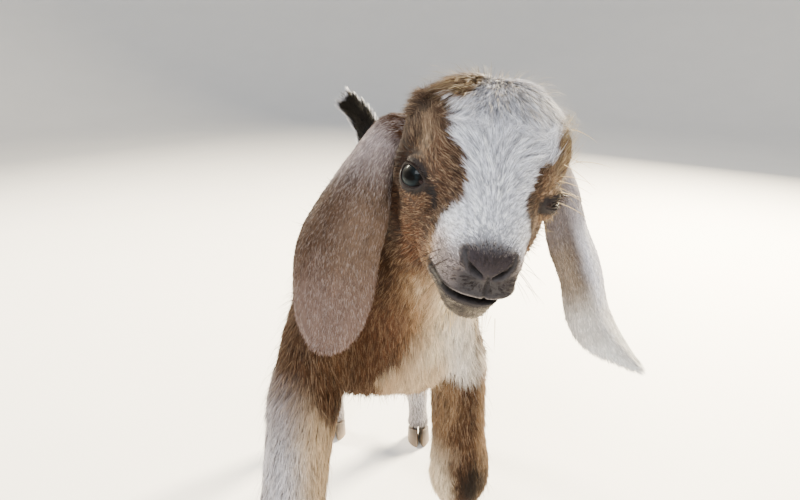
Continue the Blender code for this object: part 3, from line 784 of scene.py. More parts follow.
class Markings:
    """Colours of the coat, worked out from a place on the body; skin and hair ask the same formulas."""

    brown = shade("593B28")
    brown_dark = shade("3C271B")
    brown_light = shade("A88E72")
    rust = shade("6A3F25")
    coat = shade("543822")
    coat_dark = shade("322011")
    white = shade("F5F6FF")
    cream = shade("E2D1B4")
    tan = shade("A48360")
    straw = shade("C9AA7C")
    # Golden guard hairs on the head's lit edge: partly their own colour, partly painted rim light.
    backlit_gold = shade("EBCF98")
    blush = shade("C8B0A6")
    mauve = shade("4C4345")
    ash = shade("7C7A86")
    nose = shade("2A2326")
    black = shade("14110E")
    lip_edge = shade("A09694")
    # Near-black for the openings of mouth and nostrils: painted shade in those recesses.
    inside = shade("0E0908")
    patch = shade("2C2422")
    frost = shade("948478")
    rose_grey = shade("A2999D")
    pale_hair = shade("DCCFC9")
    iris_deep = shade("080A0B")
    iris_light = shade("151D20")
    iris_low = shade("283032")
    iris_rim = shade("0A0808")
    pupil = shade("050505")
    eye_white = shade("150F0C")

    # The dark line that runs down from the eye's inner corner, as on the left side.
    tear = (
        (0.0310, -0.0172, 0.0030), (0.0276, -0.0200, 0.0030), (0.0258, -0.0225, 0.0015),
        (0.0252, -0.0250, -0.0020),
    )
    # The blaze's edges on both sides of the face: height in the head's frame, sideways place.
    right_edge = (
        (-0.030, -0.0212), (-0.0169, -0.0205), (-0.0122, -0.0199), (-0.0054, -0.0183),
        (0.0015, -0.0152), (0.0079, -0.0131), (0.0128, -0.0131), (0.0185, -0.0123),
        (0.0220, -0.0130), (0.0233, -0.0168), (0.0267, -0.0208), (0.0314, -0.0212),
        (0.0350, -0.0222), (0.0372, -0.0262), (0.0384, -0.0215), (0.0400, -0.0172),
        (0.0434, -0.0120), (0.0470, -0.0060), (0.0520, -0.0040),
    )
    left_edge = (
        (-0.030, 0.0240), (-0.0120, 0.0230), (-0.0060, 0.0215), (0.0040, 0.0168),
        (0.0086, 0.0145), (0.0109, 0.0155), (0.0132, 0.0190), (0.0175, 0.0198),
        (0.0205, 0.0212), (0.0222, 0.0290), (0.0250, 0.0335), (0.0303, 0.0318),
        (0.0336, 0.0343), (0.0394, 0.0350), (0.0450, 0.0330), (0.0500, 0.0300),
    )
    # Soft spots of colour on the head: centre, then reach along each axis.
    temples = (
        ((-0.0330, 0.0010, 0.0210), (0.0050, 0.0090, 0.0085)),
        ((0.0330, 0.0010, 0.0200), (0.0060, 0.0090, 0.0085)),
    )
    far_side = (
        ((0.0320, -0.0120, 0.0100), (0.0060, 0.0100, 0.0080)),
        ((0.0290, -0.0210, -0.0040), (0.0070, 0.0080, 0.0090)),
    )
    buds = (
        ((-0.0368, 0.0205, 0.0318), (0.0075, 0.0095, 0.0062)),
        ((0.0390, 0.0260, 0.0300), (0.0050, 0.0075, 0.0060)),
    )
    # The chest patch's right edge: height, sideways place.
    chest_edge = (
        (0.235, -0.038), (0.252, -0.036), (0.262, -0.024), (0.275, -0.013), (0.300, -0.010),
        (0.330, -0.010), (0.360, -0.007),
    )
    # How high the white of each leg reaches; the left foreleg is brown down to the pastern.
    socks = (("foreleg_right", 0.263), ("hindleg_left", 0.190), ("hindleg_right", 0.200))

    def stubble(self, h: Array) -> Array:
        """Share of dark hairs among the light ones on the muzzle, most round nose and upper lip."""
        x, y, z = h.T
        front = ease(-0.042, -0.056, y)
        grey = 0.95 * ease(0.0215, 0.0100, np.abs(x - 0.0010)) * ease(-0.0080, -0.0145, z) * front
        speckled = 0.42 * ease(-0.0020, -0.0120, z) * ease(-0.034, -0.050, y)
        wings = 0.92 * ease(0.0046, 0.0012, FACE.nostril_gap(h)) * front
        above = 0.95 * blob(h, (0.0002, -0.0610, -0.0035), (0.0130, 0.0095, 0.0050))
        pad = 0.98 * FACE.nose_share(h)
        level, within = FACE.mouth_level(h)
        lips = 0.95 * ease(0.0046, 0.0026, np.abs(level)) * within * ease(-0.034, -0.040, y)
        upper = np.maximum.reduce([grey, speckled, wings, above, pad]) * ease(-0.0275, -0.0255, z)
        return np.maximum(upper, lips)

    def on_head(self, h: Array, blended: bool = True) -> Array:
        """Colour of the head by a place in its frame.

        Args:
            h: places in the head's frame.
            blended: mixes the muzzle's dark hairs into the colour, as on the skin.

        Returns:
            One colour for each place.
        """
        x, y, z = h.T
        wobble = grain(h, 0.007, 3) * 0.0016 + grain(h, 0.0022, 5) * 0.0011
        patchy = grain(h, 0.011, 7) * 0.5 + 0.5
        colour = mixed(self.brown, self.brown_light, 0.22 * patchy)
        colour = mixed(colour, self.rust, 0.50 * ease(-0.008, -0.030, z) * ease(-0.045, -0.010, y))
        # How far within the blaze a place is; the brown is darkest along its edge.
        right = read_off(z, self.right_edge) + wobble
        left = read_off(z, self.left_edge) + wobble
        inside = np.minimum(x - right, left - x)
        front = ease(0.052, 0.040, y)
        edge = bell(inside + 0.0045, 0.0055) * ease(0.0, -0.002, inside) * front
        colour = mixed(colour, self.brown_dark, 0.85 * edge * ease(-0.030, -0.010, z))
        colour = mixed(colour, self.brown_light, np.clip(0.8 * lumps(h, self.temples), 0, 1))
        colour = mixed(colour, self.tan, np.clip(0.85 * lumps(h, self.far_side), 0, 1))
        # The dark horn buds, the shade between them and the ear, and the lighter ridge over them.
        behind = ease(-0.0330, -0.0370, x) * ease(0.034, 0.024, z) * ease(-0.002, 0.010, z)
        colour = mixed(colour, self.brown_dark, 0.85 * behind)
        ridge = ease(0.0350, 0.0385, z) * ease(-0.003, -0.012, x)
        colour = mixed(colour, self.tan * 0.9, 0.60 * ridge)
        colour = mixed(colour, self.brown_dark * 0.40, np.clip(1.25 * lumps(h, self.buds), 0, 1))
        jaw = ease(-0.034, -0.044, z + wobble) * ease(0.000, -0.016, y + wobble)
        colour = mixed(colour, self.cream, 0.9 * jaw)
        # White blaze and muzzle, with a flush on the lips' sides.
        white = ease(-0.0012, 0.0012, inside) * front
        muzzle = ease(-0.0335, -0.0390, y + wobble * 1.5)
        colour = mixed(colour, self.white, np.maximum(white * ease(-0.034, -0.026, z), muzzle))
        blush = muzzle * ease(0.000, -0.012, z) * ease(0.006, 0.014, np.abs(x) + wobble)
        colour = mixed(colour, self.blush, 0.80 * blush)
        corner = ease(-0.028, -0.034, y) * ease(-0.046, -0.036, y + wobble) * ease(-0.008, -0.016, z)
        colour = mixed(colour, self.tan, 0.65 * corner)
        colour = mixed(colour, self.patch, self._eye_line(h, wobble))
        if blended:
            colour = mixed(colour, self.mauve * 0.8, self.stubble(h))
        # The chin below the mouth is painted dark over its cream, a little less on the left: painted shade
        # under the mouth.
        chin = ease(-0.0265, -0.0290, z) * ease(-0.030, -0.042, y)
        chin_shade = 0.84 + 0.16 * grain(h, 0.0030, 59) - 0.15 * ease(-0.010, 0.008, x)
        colour = mixed(colour, mixed(self.cream, self.patch * 1.6, chin_shade), chin)
        # The grey in the middle of the crown: partly dark hair roots, partly painted shade where the hair
        # parts.
        crown = blob(h, (0.004, 0.016, 0.045), (0.013, 0.026, 0.016)) * (0.5 + 0.5 * grain(h, 0.0024, 19))
        colour = mixed(colour, self.mauve, 0.55 * np.clip(crown, 0, 1))
        shadow = ease(-0.0030, 0.0080, y) * ease(-0.0290, -0.0350, x) * ease(0.026, 0.004, z)
        return mixed(colour, self.brown_dark * 0.45, 0.85 * shadow)

    def _eye_line(self, h: Array, wobble: Array) -> Array:
        """How strongly a place lies on the dark rim of an eye or on the line below its inner corner."""
        line = np.zeros(len(h))
        for side, strength in ((-1, 1.0), (1, 0.35)):
            gap, _, _ = near_path(h * [side, 1, 1], np.array(self.tear))
            line = np.maximum(line, ease(0.0038, 0.0018, gap + wobble * 0.3) * strength)
        radius, lid, _ = FACE.lids(h)
        return np.maximum(line, ease(0.0032, 0.0016, lid) * (radius < 0.0145))

    def on_body(self, lay: Lay) -> Array:
        """Colour of neck, trunk and legs."""
        p = lay.points
        x, y, z = p.T
        wobble = grain(p, 0.016, 11) * 0.005 + grain(p, 0.005, 13) * 0.003
        patchy = grain(p, 0.03, 17) * 0.5 + 0.5
        colour = mixed(self.coat, self.coat_dark, 0.10 + 0.55 * patchy)
        back = ease(0.335, 0.372, z) * ease(-0.10, -0.04, y)
        colour = mixed(colour, self.coat_dark, 0.5 * back)
        # The pale chest: left of its edge, in front, above the legs and before the belly.
        left_of = x - read_off(z, self.chest_edge)
        chest = ease(-0.004, 0.006, left_of + wobble * 1.3) * ease(-0.066, -0.096, y + wobble * 3)
        chest = chest * ease(0.226, 0.240, z + wobble)
        chest = chest * ease(0.002, -0.016, y + z - 0.2536 + wobble * 1.5)
        tan_edge = bell(left_of + wobble, 0.009) * ease(-0.055, -0.085, y) * ease(0.262, 0.290, z)
        colour = mixed(colour, self.tan, 0.8 * tan_edge * (1 - chest))
        colour = mixed(colour, mixed(self.cream, self.tan, 0.7 * bell(left_of - 0.004, 0.010)), chest)
        colour = mixed(colour, self.white, 0.35 * chest * ease(0.0, 0.02, x) * ease(0.31, 0.28, z))
        low = ease(0.272, 0.252, z + wobble * 2) * ease(0.020, 0.004, x)
        colour = mixed(colour, self.tan, 0.60 * chest * low)
        throat = blob(p, (-0.030, -0.115, 0.292), (0.016, 0.040, 0.026)) * (1.0 - chest)
        colour = mixed(colour, self.brown * 1.15, 0.9 * np.clip(throat, 0, 1))
        belly = ease(0.243, 0.228, z + wobble) * ease(-0.095, -0.060, y)
        colour = mixed(colour, self.white, belly)
        # The left foreleg: brown, paler within, with painted rim light along its outer edge and a dark knee.
        here = lay.leg["foreleg_left"]
        high = here * ease(0.246, 0.228, z + wobble)
        colour = mixed(colour, mixed(self.coat, self.coat_dark, 0.35 + 0.3 * patchy), high)
        within = ease(0.026, 0.013, x + wobble)
        colour = mixed(colour, self.tan * 0.75, 0.55 * high * within)
        colour = mixed(colour, self.cream, 0.80 * high * within * ease(0.195, 0.150, z))
        # Tan along the outer edge: painted rim light.
        colour = mixed(colour, self.tan, 0.70 * high * ease(0.034, 0.041, x))
        knee = blob(p, (0.0370, -0.1000, 0.150), (0.0130, 0.0190, 0.0190))
        colour = mixed(colour, self.black, np.clip(1.15 * knee, 0, 0.85) * here)
        colour = mixed(colour, self.white, here * ease(0.105, 0.080, z + wobble))
        # The white legs, which are greyed, and straw to brown within and above on the right foreleg.
        for name, level in self.socks:
            top, greyed = level, mixed(self.white, self.frost, 0.42 + 0.36 * patchy)
            if name == "foreleg_right":
                top = level - ease(-0.086, -0.066, x) * 0.030
                greyed = mixed(greyed, self.straw, 0.80 * ease(-0.100, -0.078, x))
                greyed = mixed(greyed, self.brown, 0.55 * ease(0.215, 0.262, z + wobble * 2))
            colour = mixed(colour, greyed, lay.leg[name] * ease(top + 0.004, top - 0.012, z + wobble * 1.4))
        hoofs = np.maximum.reduce([lay.leg[name] * ease(0.95, 0.985, lay.leg_share[name]) for name in LEGS])
        return mixed(colour, self.mauve, 0.6 * hoofs)

    def on(self, lay: Lay, blended: bool = True) -> Array:
        """Colour anywhere on head, neck, trunk and legs."""
        return mixed(self.on_body(lay), self.on_head(lay.head, blended), lay.is_head)


class Part(Enum):
    """Parts of the coat that are dressed in their own way."""

    FACE = "face"
    NECK = "neck"
    TRUNK = "trunk"
    LEGS = "legs"


@dataclass(frozen=True)
class EyeBuild:
    """Where each eyeball sits in the head, and the almond opening between its lids."""

    place: tuple = (0.0306, -0.0050, 0.0026)
    radius: float = 0.0105
    sunk: tuple = (0.0, 0.0030)
    facing: tuple = ((-0.76, -0.61, 0.22), (0.93, -0.34, 0.16))
    half_width: float = 0.0092
    half_height: tuple = (0.0055, 0.0019)
    pointing: float = 1.5

    def axes(self, side: int) -> tuple[Array, Array, Array, Array]:
        """Centre, way across, way up and way out of one eye, in the head's frame."""
        out = unit(np.array(self.facing[side > 0]))
        across = unit(np.cross([0.0, 0.0, 1.0], out))
        centre = (np.array(self.place) - [self.sunk[side > 0], 0, 0]) * [side, 1, 1]
        return centre, across, np.cross(out, across), out

    def gap(self, side: int, wide: Array, high: Array) -> Array:
        """Distance outside the opening's edge: a rounded almond, (high/half)^p + (wide/half)^2 = 1."""
        half = self.half_height[side > 0]
        reach = (np.abs(high) / half) ** self.pointing + (wide / self.half_width) ** 2
        return (np.sqrt(reach) - 1.0) * half

    def edge(self, side: int, turn: Array, grow: float = 1.0) -> tuple[Array, Array]:
        """The opening's edge by a turn round it, across and up."""
        high = np.sign(np.sin(turn)) * np.abs(np.sin(turn)) ** (2.0 / self.pointing)
        return grow * self.half_width * np.cos(turn), grow * self.half_height[side > 0] * high

    def on_ball(self, side: int, wide: Array, high: Array, lift: float) -> Array:
        """Places over the ball in the head's frame, from places across and up and the height off it."""
        centre, across, up, out = self.axes(side)
        deep = np.sqrt(np.maximum((self.radius + lift) ** 2 - wide**2 - high**2, 1e-8))
        return centre + wide[:, None] * across + high[:, None] * up + deep[:, None] * out


def folded(h: Array) -> Array:
    """Head places with the right side folded over onto the left."""
    return h * np.where(h[:, :1] < 0, [[-1.0, 1.0, 1.0]], [[1.0, 1.0, 1.0]])


@dataclass(frozen=True)
class Face:
    """Lips, nose and lids pressed into the skin of the head, all in the head's frame."""

    eye: EyeBuild = EyeBuild()
    mouth: tuple = (
        (-0.0212, -0.0372, -0.0262), (-0.0208, -0.0420, -0.0258), (-0.0198, -0.0475, -0.0250),
        (-0.0182, -0.0543, -0.0244), (-0.0151, -0.0592, -0.0252), (-0.0113, -0.0612, -0.0257),
        (-0.0053, -0.0635, -0.0263), (0.0, -0.0640, -0.0266), (0.0039, -0.0635, -0.0266),
        (0.0087, -0.0628, -0.0262), (0.0151, -0.0592, -0.0257), (0.0182, -0.0543, -0.0255),
        (0.0208, -0.0440, -0.0258), (0.0212, -0.0372, -0.0265),
    )
    # The middle of the muzzle, which the mouth runs round: sideways and lengthwise place.
    muzzle: tuple = (0.0, -0.036)
    nostril: tuple = (
        (0.0103, -0.0588, -0.0058), (0.0090, -0.0610, -0.0086), (0.0062, -0.0636, -0.0112),
        (0.0030, -0.0657, -0.0131),
    )
    # Half the nostril's width by the share of its length.
    nostril_width: tuple = ((0.0, 0.0007), (0.3, 0.0013), (0.7, 0.0015), (1.0, 0.0007))
    # Half the nose pad's width by height.
    pad_width: tuple = (
        (-0.0150, 0.0012), (-0.0130, 0.0042), (-0.0110, 0.0066), (-0.0090, 0.0088),
        (-0.0060, 0.0100), (-0.0030, 0.0090),
    )

    def nose_share(self, h: Array) -> Array:
        """How much a place belongs to the nose pad: wide above, drawn in to the lip below."""
        x, y, z = h.T
        half = read_off(z, self.pad_width)
        up_down = ease(-0.0160, -0.0142, z) * ease(-0.0008, -0.0042, z)
        return ease(half + 0.0012, half - 0.0008, np.abs(x)) * up_down * ease(-0.0535, -0.0565, y)

    @staticmethod
    def split(h: Array) -> Array:
        """How strongly a place lies on the groove between nose and lip, which leans to the left."""
        x, _, z = h.T
        middle = 0.0006 + 0.10 * np.clip(-0.0135 - z, 0.0, 0.012)
        return bell(x - middle, 0.0008) * ease(-0.0285, -0.0265, z) * ease(-0.0118, -0.0132, z)

    def mouth_level(self, h: Array) -> tuple[Array, Array]:
        """Height above the mouth line, and how far within its two corners a place is."""
        line = np.array(self.mouth)
        around = np.arctan2(h[:, 0] - self.muzzle[0], -(h[:, 1] - self.muzzle[1]))
        known = np.arctan2(line[:, 0] - self.muzzle[0], -(line[:, 1] - self.muzzle[1]))
        level = np.interp(around, known, line[:, 2])
        within = ease(known[-1] + 0.14, known[-1] + 0.04, np.abs(around))
        return h[:, 2] - level, within

    def nostril_gap(self, h: Array) -> Array:
        """Distance outside the nearer nostril: a line that is widest below its middle."""
        gap, share, _ = near_path(folded(h), np.array(self.nostril))
        return gap - read_off(share, self.nostril_width)

    def lids(self, h: Array) -> tuple[Array, Array, Array]:
        """For the nearer eye: distance from its centre, and outside its opening, and height over it."""
        best = None
        for side in (-1, 1):
            centre, across, up, out = self.eye.axes(side)
            q = h - centre
            wide, high = q @ across, q @ up
            gap = np.where(q @ out > 0.0, self.eye.gap(side, wide, high), 0.02)
            row = (np.linalg.norm(q, axis=1), gap, high)
            best = row if best is None else tuple(np.where(best[0] < row[0], b, r) for b, r in zip(best, row))
        return best

    def pressed(self, h: Array, normal: Array) -> Array:
        """Moves points of the head's skin into lids, nostrils and lips.

        Args:
            h: places in the head's frame.
            normal: outward directions there.

        Returns:
            The new places: lids stand off the eyeball by a lid's thickness and stop at the opening; nostrils
            and mouth are grooves that follow their lines, with the rims raised beside them.
        """
        h = h.copy()
        for side in (-1, 1):
            centre, across, up, out = self.eye.axes(side)
            q = h - centre
            radius = np.linalg.norm(q, axis=1)
            gap = self.eye.gap(side, q @ across, q @ up)
            lid = self.eye.radius + 0.0013 - 0.0008 * bell(gap - 0.0040, 0.0009) * (q @ up > 0)
            target = np.where(gap > 0, lid, self.eye.radius - 0.0016)
            near = ease(0.0040, 0.0022, radius - self.eye.radius) * (q @ out > 0.0) * (radius > 0.004)
            wanted = radius + near * (target - radius)
            h = centre + unit(q) * wanted[:, None]
        nose = self.nose_share(h)
        gap = self.nostril_gap(h)
        front = ease(-0.050, -0.056, h[:, 1])
        inward = unit(np.stack([-0.25 * np.sign(h[:, 0]), 1.0 + 0 * gap, 0.35 + 0 * gap], axis=1))
        h = h + inward * (0.0056 * ease(0.0006, -0.0006, gap) * front)[:, None]
        h = h + normal * ((0.0004 * nose + 0.0004 * bell(gap - 0.0014, 0.0009)) * front)[:, None]
        h = h - normal * (0.0013 * self.split(h) * front)[:, None]
        level, within = self.mouth_level(h)
        deep = ease(-0.0026, -0.0014, level) * ease(0.0016, 0.0006, level) * within
        radial = unit((h - np.array([*self.muzzle, 0.0])) * [1.0, 1.0, 0.0])
        h = h - radial * (0.0055 * deep)[:, None]
        lips = 0.0007 * bell(level - 0.0028, 0.0016) + 0.0003 * bell(level + 0.0050, 0.0016)
        return h + normal * (lips * within)[:, None]

    def bare(self, h: Array) -> Array:
        """1 where no hair grows: nose pad, nostrils, lips and within the lids."""
        radius, gap, _ = self.lids(h)
        level, within = self.mouth_level(h)
        lips = ease(-0.0042, -0.0032, level) * ease(0.0026, 0.0020, level) * within
        nostrils = np.maximum(self.split(h), ease(0.0010, 0.0003, self.nostril_gap(h)))
        lips = np.maximum(lips, nostrils * (h[:, 1] < -0.05))
        eyes = ease(0.0012, 0.0, gap) * (radius < 0.014)
        low = ease(-0.0092, -0.0120, h[:, 2] + 0.0010 * grain(h, 0.0012, 67))
        pad = ease(0.55, 0.95, self.nose_share(h)) * low
        return np.clip(np.maximum.reduce([pad, lips, eyes]), 0, 1)

    def tinted(self, h: Array, colour: Array) -> Array:
        """The colours of the bare places laid over the coat's."""
        level, within = self.mouth_level(h)
        gap = self.nostril_gap(h)
        front = ease(-0.050, -0.056, h[:, 1])
        colour = mixed(colour, Markings.nose, self.nose_share(h))
        lip = ease(-0.0056, -0.0040, level) * ease(0.0034, 0.0022, level) * within
        colour = mixed(colour, Markings.nose * 0.6, 0.9 * lip)
        middle = ease(0.0170, 0.0090, np.abs(h[:, 0]))
        colour = mixed(colour, Markings.lip_edge, 0.45 * bell(level - 0.0021, 0.0005) * within * middle)
        # The mouth's groove and its corners are painted near-black: painted shade in the recess.
        deep = ease(-0.0028, -0.0020, level) * ease(0.0014, 0.0006, level) * within
        colour = mixed(colour, Markings.inside, deep)
        corner = ease(0.0150, 0.0185, np.abs(h[:, 0])) * ease(-0.0048, -0.0034, level)
        corner = corner * ease(0.0026, 0.0014, level) * within
        colour = mixed(colour, Markings.inside * 1.6, 0.9 * corner)
        # The nostrils' openings are painted near-black: painted shade in the holes.
        colour = mixed(colour, Markings.inside, ease(0.0007, -0.0002, gap) * front)
        # The groove under the nose is painted darker: painted shade in the crease.
        colour = mixed(colour, Markings.nose * 0.4, 0.85 * self.split(h) * front)
        radius, lid_gap, _ = self.lids(h)
        return mixed(colour, Markings.patch * 0.6, ease(0.0026, 0.0010, lid_gap) * (radius < 0.014))


FACE = Face()


@dataclass
class Skin:
    """One skin over head, neck, trunk and legs, drawn in from the solids by the depth of the coat."""

    voxel: float = 0.0022
    swell: float = 0.0005
    # How deep the coat is on the body by height.
    depth_by_height: tuple = (
        (0.012, 0.0004), (0.030, 0.0014), (0.10, 0.0020), (0.20, 0.0036), (0.26, 0.0050),
    )
    # Where the skin lies deeper under the solids' outline, or less deep: change, centre, reach.
    crown_lumps: tuple = (
        (0.0026, (-0.038, 0.026, 0.038), (0.012, 0.014, 0.010)),
        (-0.0022, (0.018, 0.030, 0.046), (0.013, 0.016, 0.012)),
        (-0.0036, (-0.041, 0.008, 0.002), (0.010, 0.014, 0.015)),
        (-0.0042, (-0.022, -0.024, -0.036), (0.008, 0.020, 0.013)),
        (-0.0038, (0.038, 0.012, 0.022), (0.012, 0.022, 0.014)),
        (0.0034, (0.039, 0.027, 0.036), (0.006, 0.008, 0.007)),
    )
    face_lumps: tuple = (
        (0.0038, (0.021, -0.048, -0.017), (0.009, 0.018, 0.009)),
        (0.0066, (0.016, -0.047, -0.034), (0.010, 0.024, 0.008)),
        (0.0044, (0.039, -0.012, -0.002), (0.012, 0.015, 0.014)),
    )
    piece: Piece = field(init=False)
    lie: Array = field(init=False)

    def build(self) -> Piece:
        """Joins the flesh, evens it out, refines the face and presses its features in."""
        self.piece = self._joined()
        self._evened()
        self._refined(lambda h: (h[:, 1] < 0.050) & (h[:, 2] > -0.060))
        self._refined(self._features)
        mesh = self.piece.data
        points, edges = points_of(mesh), edges_of(mesh)
        lay = Lay(points)
        points = relaxed(points, edges, 0.5 * np.clip(lay.is_head, 0.0, 1.0), 3)
        move_points(mesh, points)
        points = points - normals_of(mesh) * self._depth(lay)[:, None]
        move_points(mesh, points)
        lay = Lay(points)
        h = FACE.pressed(lay.head, HEAD.aim_into(normals_of(mesh)))
        front = lay.is_head > 0.5
        points = np.where(front[:, None], HEAD.out(h), points)
        move_points(mesh, points)
        self._dress(lay)
        self.lie = self._lie(Lay(points), normals_of(mesh), edges)
        return self.piece

    def _joined(self) -> Piece:
        """All flesh nodes and eyeballs as one mesh, each swollen a little so that their gaps close."""
        parts, faces, count = [], [], 0
        for name in (*FLESH, "eye_left", "eye_right"):
            copy = merged_copy(name, "copy")
            points = points_of(copy) + normals_of(copy) * self.swell
            parts.append(points)
            faces.append(triangles_of(copy) + count)
            count += len(points)
            bpy.data.meshes.remove(copy)
        return mesh_piece("skin", np.vstack(parts), np.vstack(faces))

    def _evened(self) -> None:
        """Remeshes the joined flesh into even small squares, keeps its outer surface and smooths it."""
        remesh = self.piece.modifiers.new("Even", "REMESH")
        remesh.mode = "VOXEL"
        remesh.voxel_size = self.voxel
        baked(self.piece)
        mesh = self.piece.data
        with opened(mesh) as bm:
            groups = sorted(self._groups(bm), key=len)
            spare = [face for group in groups[:-1] for face in group]
            bmesh.ops.delete(bm, geom=spare, context="FACES")
        points, edges = points_of(mesh), edges_of(mesh)
        body = 1.0 - Lay(points).is_head
        move_points(mesh, relaxed(points, edges, 0.25 + 0.25 * body, 8))

    @staticmethod
    def _groups(bm: bmesh.types.BMesh) -> list:
        """The faces in groups that hang together by their edges."""
        seen, groups = set(), []
        for start in bm.faces:
            if start in seen:
                continue
            seen.add(start)
            group, todo = [start], [start]
            while todo:
                for edge in todo.pop().edges:
                    fresh = [face for face in edge.link_faces if face not in seen]
                    seen.update(fresh)
                    group += fresh
                    todo += fresh
            groups.append(group)
        return groups

    @staticmethod
    def _features(h: Array) -> Array:
        """Where the face needs its finest mesh: muzzle and both eyes."""
        near = folded(h)
        eye = np.linalg.norm(near - np.array(FACE.eye.place), axis=1) < 0.0165
        return (h[:, 1] < -0.036) | (eye & (near[:, 0] > 0.018))

    def _refined(self, where: Any) -> None:
        """Cuts the faces in one region of the head to half their size."""
        mesh = self.piece.data
        points = points_of(mesh)
        wanted = where(HEAD.into(points)) & (points[:, 2] > 0.30)
        with opened(mesh) as bm:
            bm.verts.ensure_lookup_table()
            edges = [edge for edge in bm.edges if all(wanted[vert.index] for vert in edge.verts)]
            bmesh.ops.subdivide_edges(bm, edges=edges, cuts=1, use_grid_fill=True)
        mesh.update()

    def _depth(self, lay: Lay) -> Array:
        """How deep the coat is: most on the trunk, least on nose, lips, lids and feet."""
        z = lay.points[:, 2]
        body = read_off(z, self.depth_by_height)
        forearm = np.maximum(lay.leg["foreleg_left"], lay.leg["foreleg_right"])
        body = body - 0.0052 * forearm * ease(0.105, 0.150, z)
        body = body - 0.0048 * blob(lay.points, (-0.086, -0.095, 0.275), (0.030, 0.045, 0.050))
        h = lay.head
        crown = 0.0012 + 0.0012 * ease(0.018, 0.038, h[:, 2])
        crown = crown - 0.0010 * ease(0.024, 0.032, np.abs(h[:, 0])) * ease(0.034, 0.024, h[:, 2])
        for change, centre, reach in self.crown_lumps:
            crown = crown + change * blob(h, centre, reach)
        face = crown * ease(-0.058, -0.044, h[:, 1]) + 0.0005 * ease(-0.044, -0.058, h[:, 1])
        radius, _, _ = FACE.lids(h)
        face = face * ease(0.0125, 0.0170, radius) + 0.0002
        for change, centre, reach in self.face_lumps:
            face = face + change * blob(h, centre, reach)
        return body + (face - body) * lay.is_head

    def _dress(self, lay: Lay) -> None:
        """Paints the markings, darkened under the coat as painted shade, and the bare places, and gives the
        finish.
        """
        mesh = self.piece.data
        on_head = lay.is_head > 0.5
        # The skin under the hair is painted at 0.3 of the coat's colour: painted shade beneath the hair.
        colour = Markings().on(lay) * 0.30
        colour = np.where(on_head[:, None], FACE.tinted(lay.head, colour), colour)
        paint(mesh, "Coat", np.clip(colour, 0, 1))
        keep_value(mesh, "Bare", FACE.bare(lay.head) * on_head)
        mesh.shade_smooth()
        dressed(self.piece, SkinFinish().make(), "brown_coat", *FLESH)

    @staticmethod
    def _lie(lay: Lay, normal: Array, edges: Array) -> Array:
        """Which way the hair lies at each point.

        The face has a feather that runs up the bridge and outwards and meets the hair of the crown at mid
        forehead; cheeks and neck run back and down; the trunk runs back; legs run down.
        """
        x, y, z = lay.head.T
        one = np.ones(len(x))
        bridge = np.stack([x * 80.0, 0.75 * one, 0.60 * one], axis=1)
        crown = np.stack([x * 34.0, -0.72 * one, -0.50 * one], axis=1)
        poll = np.stack([x * 6.0, 0.90 * one, -0.45 * one], axis=1)
        cheek = np.stack([0.0 * one, 0.92 * one, -0.38 * one], axis=1)
        temple = np.stack([x * 5.0, 0.55 * one, 0.60 * one], axis=1)
        lip = np.stack([x * 30.0, 0.85 * one, -0.10 * one], axis=1)
        top = ease(0.027, 0.020, np.abs(x)) * ease(-0.022, -0.006, z)
        head = cheek * (1 - top)[:, None] + bridge * top[:, None]
        head = mixed(head, temple, ease(0.020, 0.027, np.abs(x)) * ease(0.006, 0.014, z))
        head = mixed(head, crown, ease(0.030, 0.037, z))
        head = mixed(head, poll, ease(0.036, 0.046, y))
        head = mixed(head, lip, ease(-0.010, -0.018, z) * ease(-0.040, -0.050, y))
        whorl = np.stack([(x + 0.0335) * 180.0, (y - 0.0195) * 80.0, (z - 0.0328) * 120.0], axis=1)
        head = mixed(head, unit(whorl), blob(lay.head, (-0.0370, 0.0240, 0.0315), (0.0085, 0.0110, 0.0085)))
        head = HEAD.aim_out(unit(head))
        _, _, neck_way = near_path(lay.points, GUIDES["neck"])
        px, py, pz = lay.points.T
        chest = ease(-0.060, -0.095, py)
        neck = unit(neck_way * 0.8 + np.array([0.0, 0.15, -0.45]))
        trunk = np.stack([0 * one, 0.92 * one, -0.38 * ease(0.36, 0.30, pz)], axis=1)
        body = mixed(trunk, neck, ease(-0.02, -0.06, py) * ease(0.27, 0.31, pz))
        body = mixed(body, np.array([0.0, 0.10, -1.0]), chest * ease(0.325, 0.295, pz))
        body = mixed(body, np.array([0.0, 0.35, -0.9]), ease(0.175, 0.215, py))
        for name in LEGS:
            _, _, way = near_path(lay.points, GUIDES[name])
            body = mixed(body, way, lay.leg[name])
        aim = mixed(unit(body), head, lay.is_head)
        for _ in range(4):
            aim = relaxed(unit(along_skin(aim, normal)), edges, 0.6, 5)
        return unit(along_skin(aim, normal))


@dataclass
class Hairs:
    """One lot of hairs: a row in each array for each hair."""

    root: Array
    normal: Array
    lie: Array
    length: Array
    width: Array
    rise: Array
    colour: Array
    unwrapped: Array

    def only(self, keep: Array) -> "Hairs":
        """The hairs that a mask or a list of numbers picks."""
        return Hairs(*(getattr(self, name)[keep] for name in self.__dataclass_fields__))

    def __len__(self) -> int:
        """How many hairs."""
        return len(self.root)


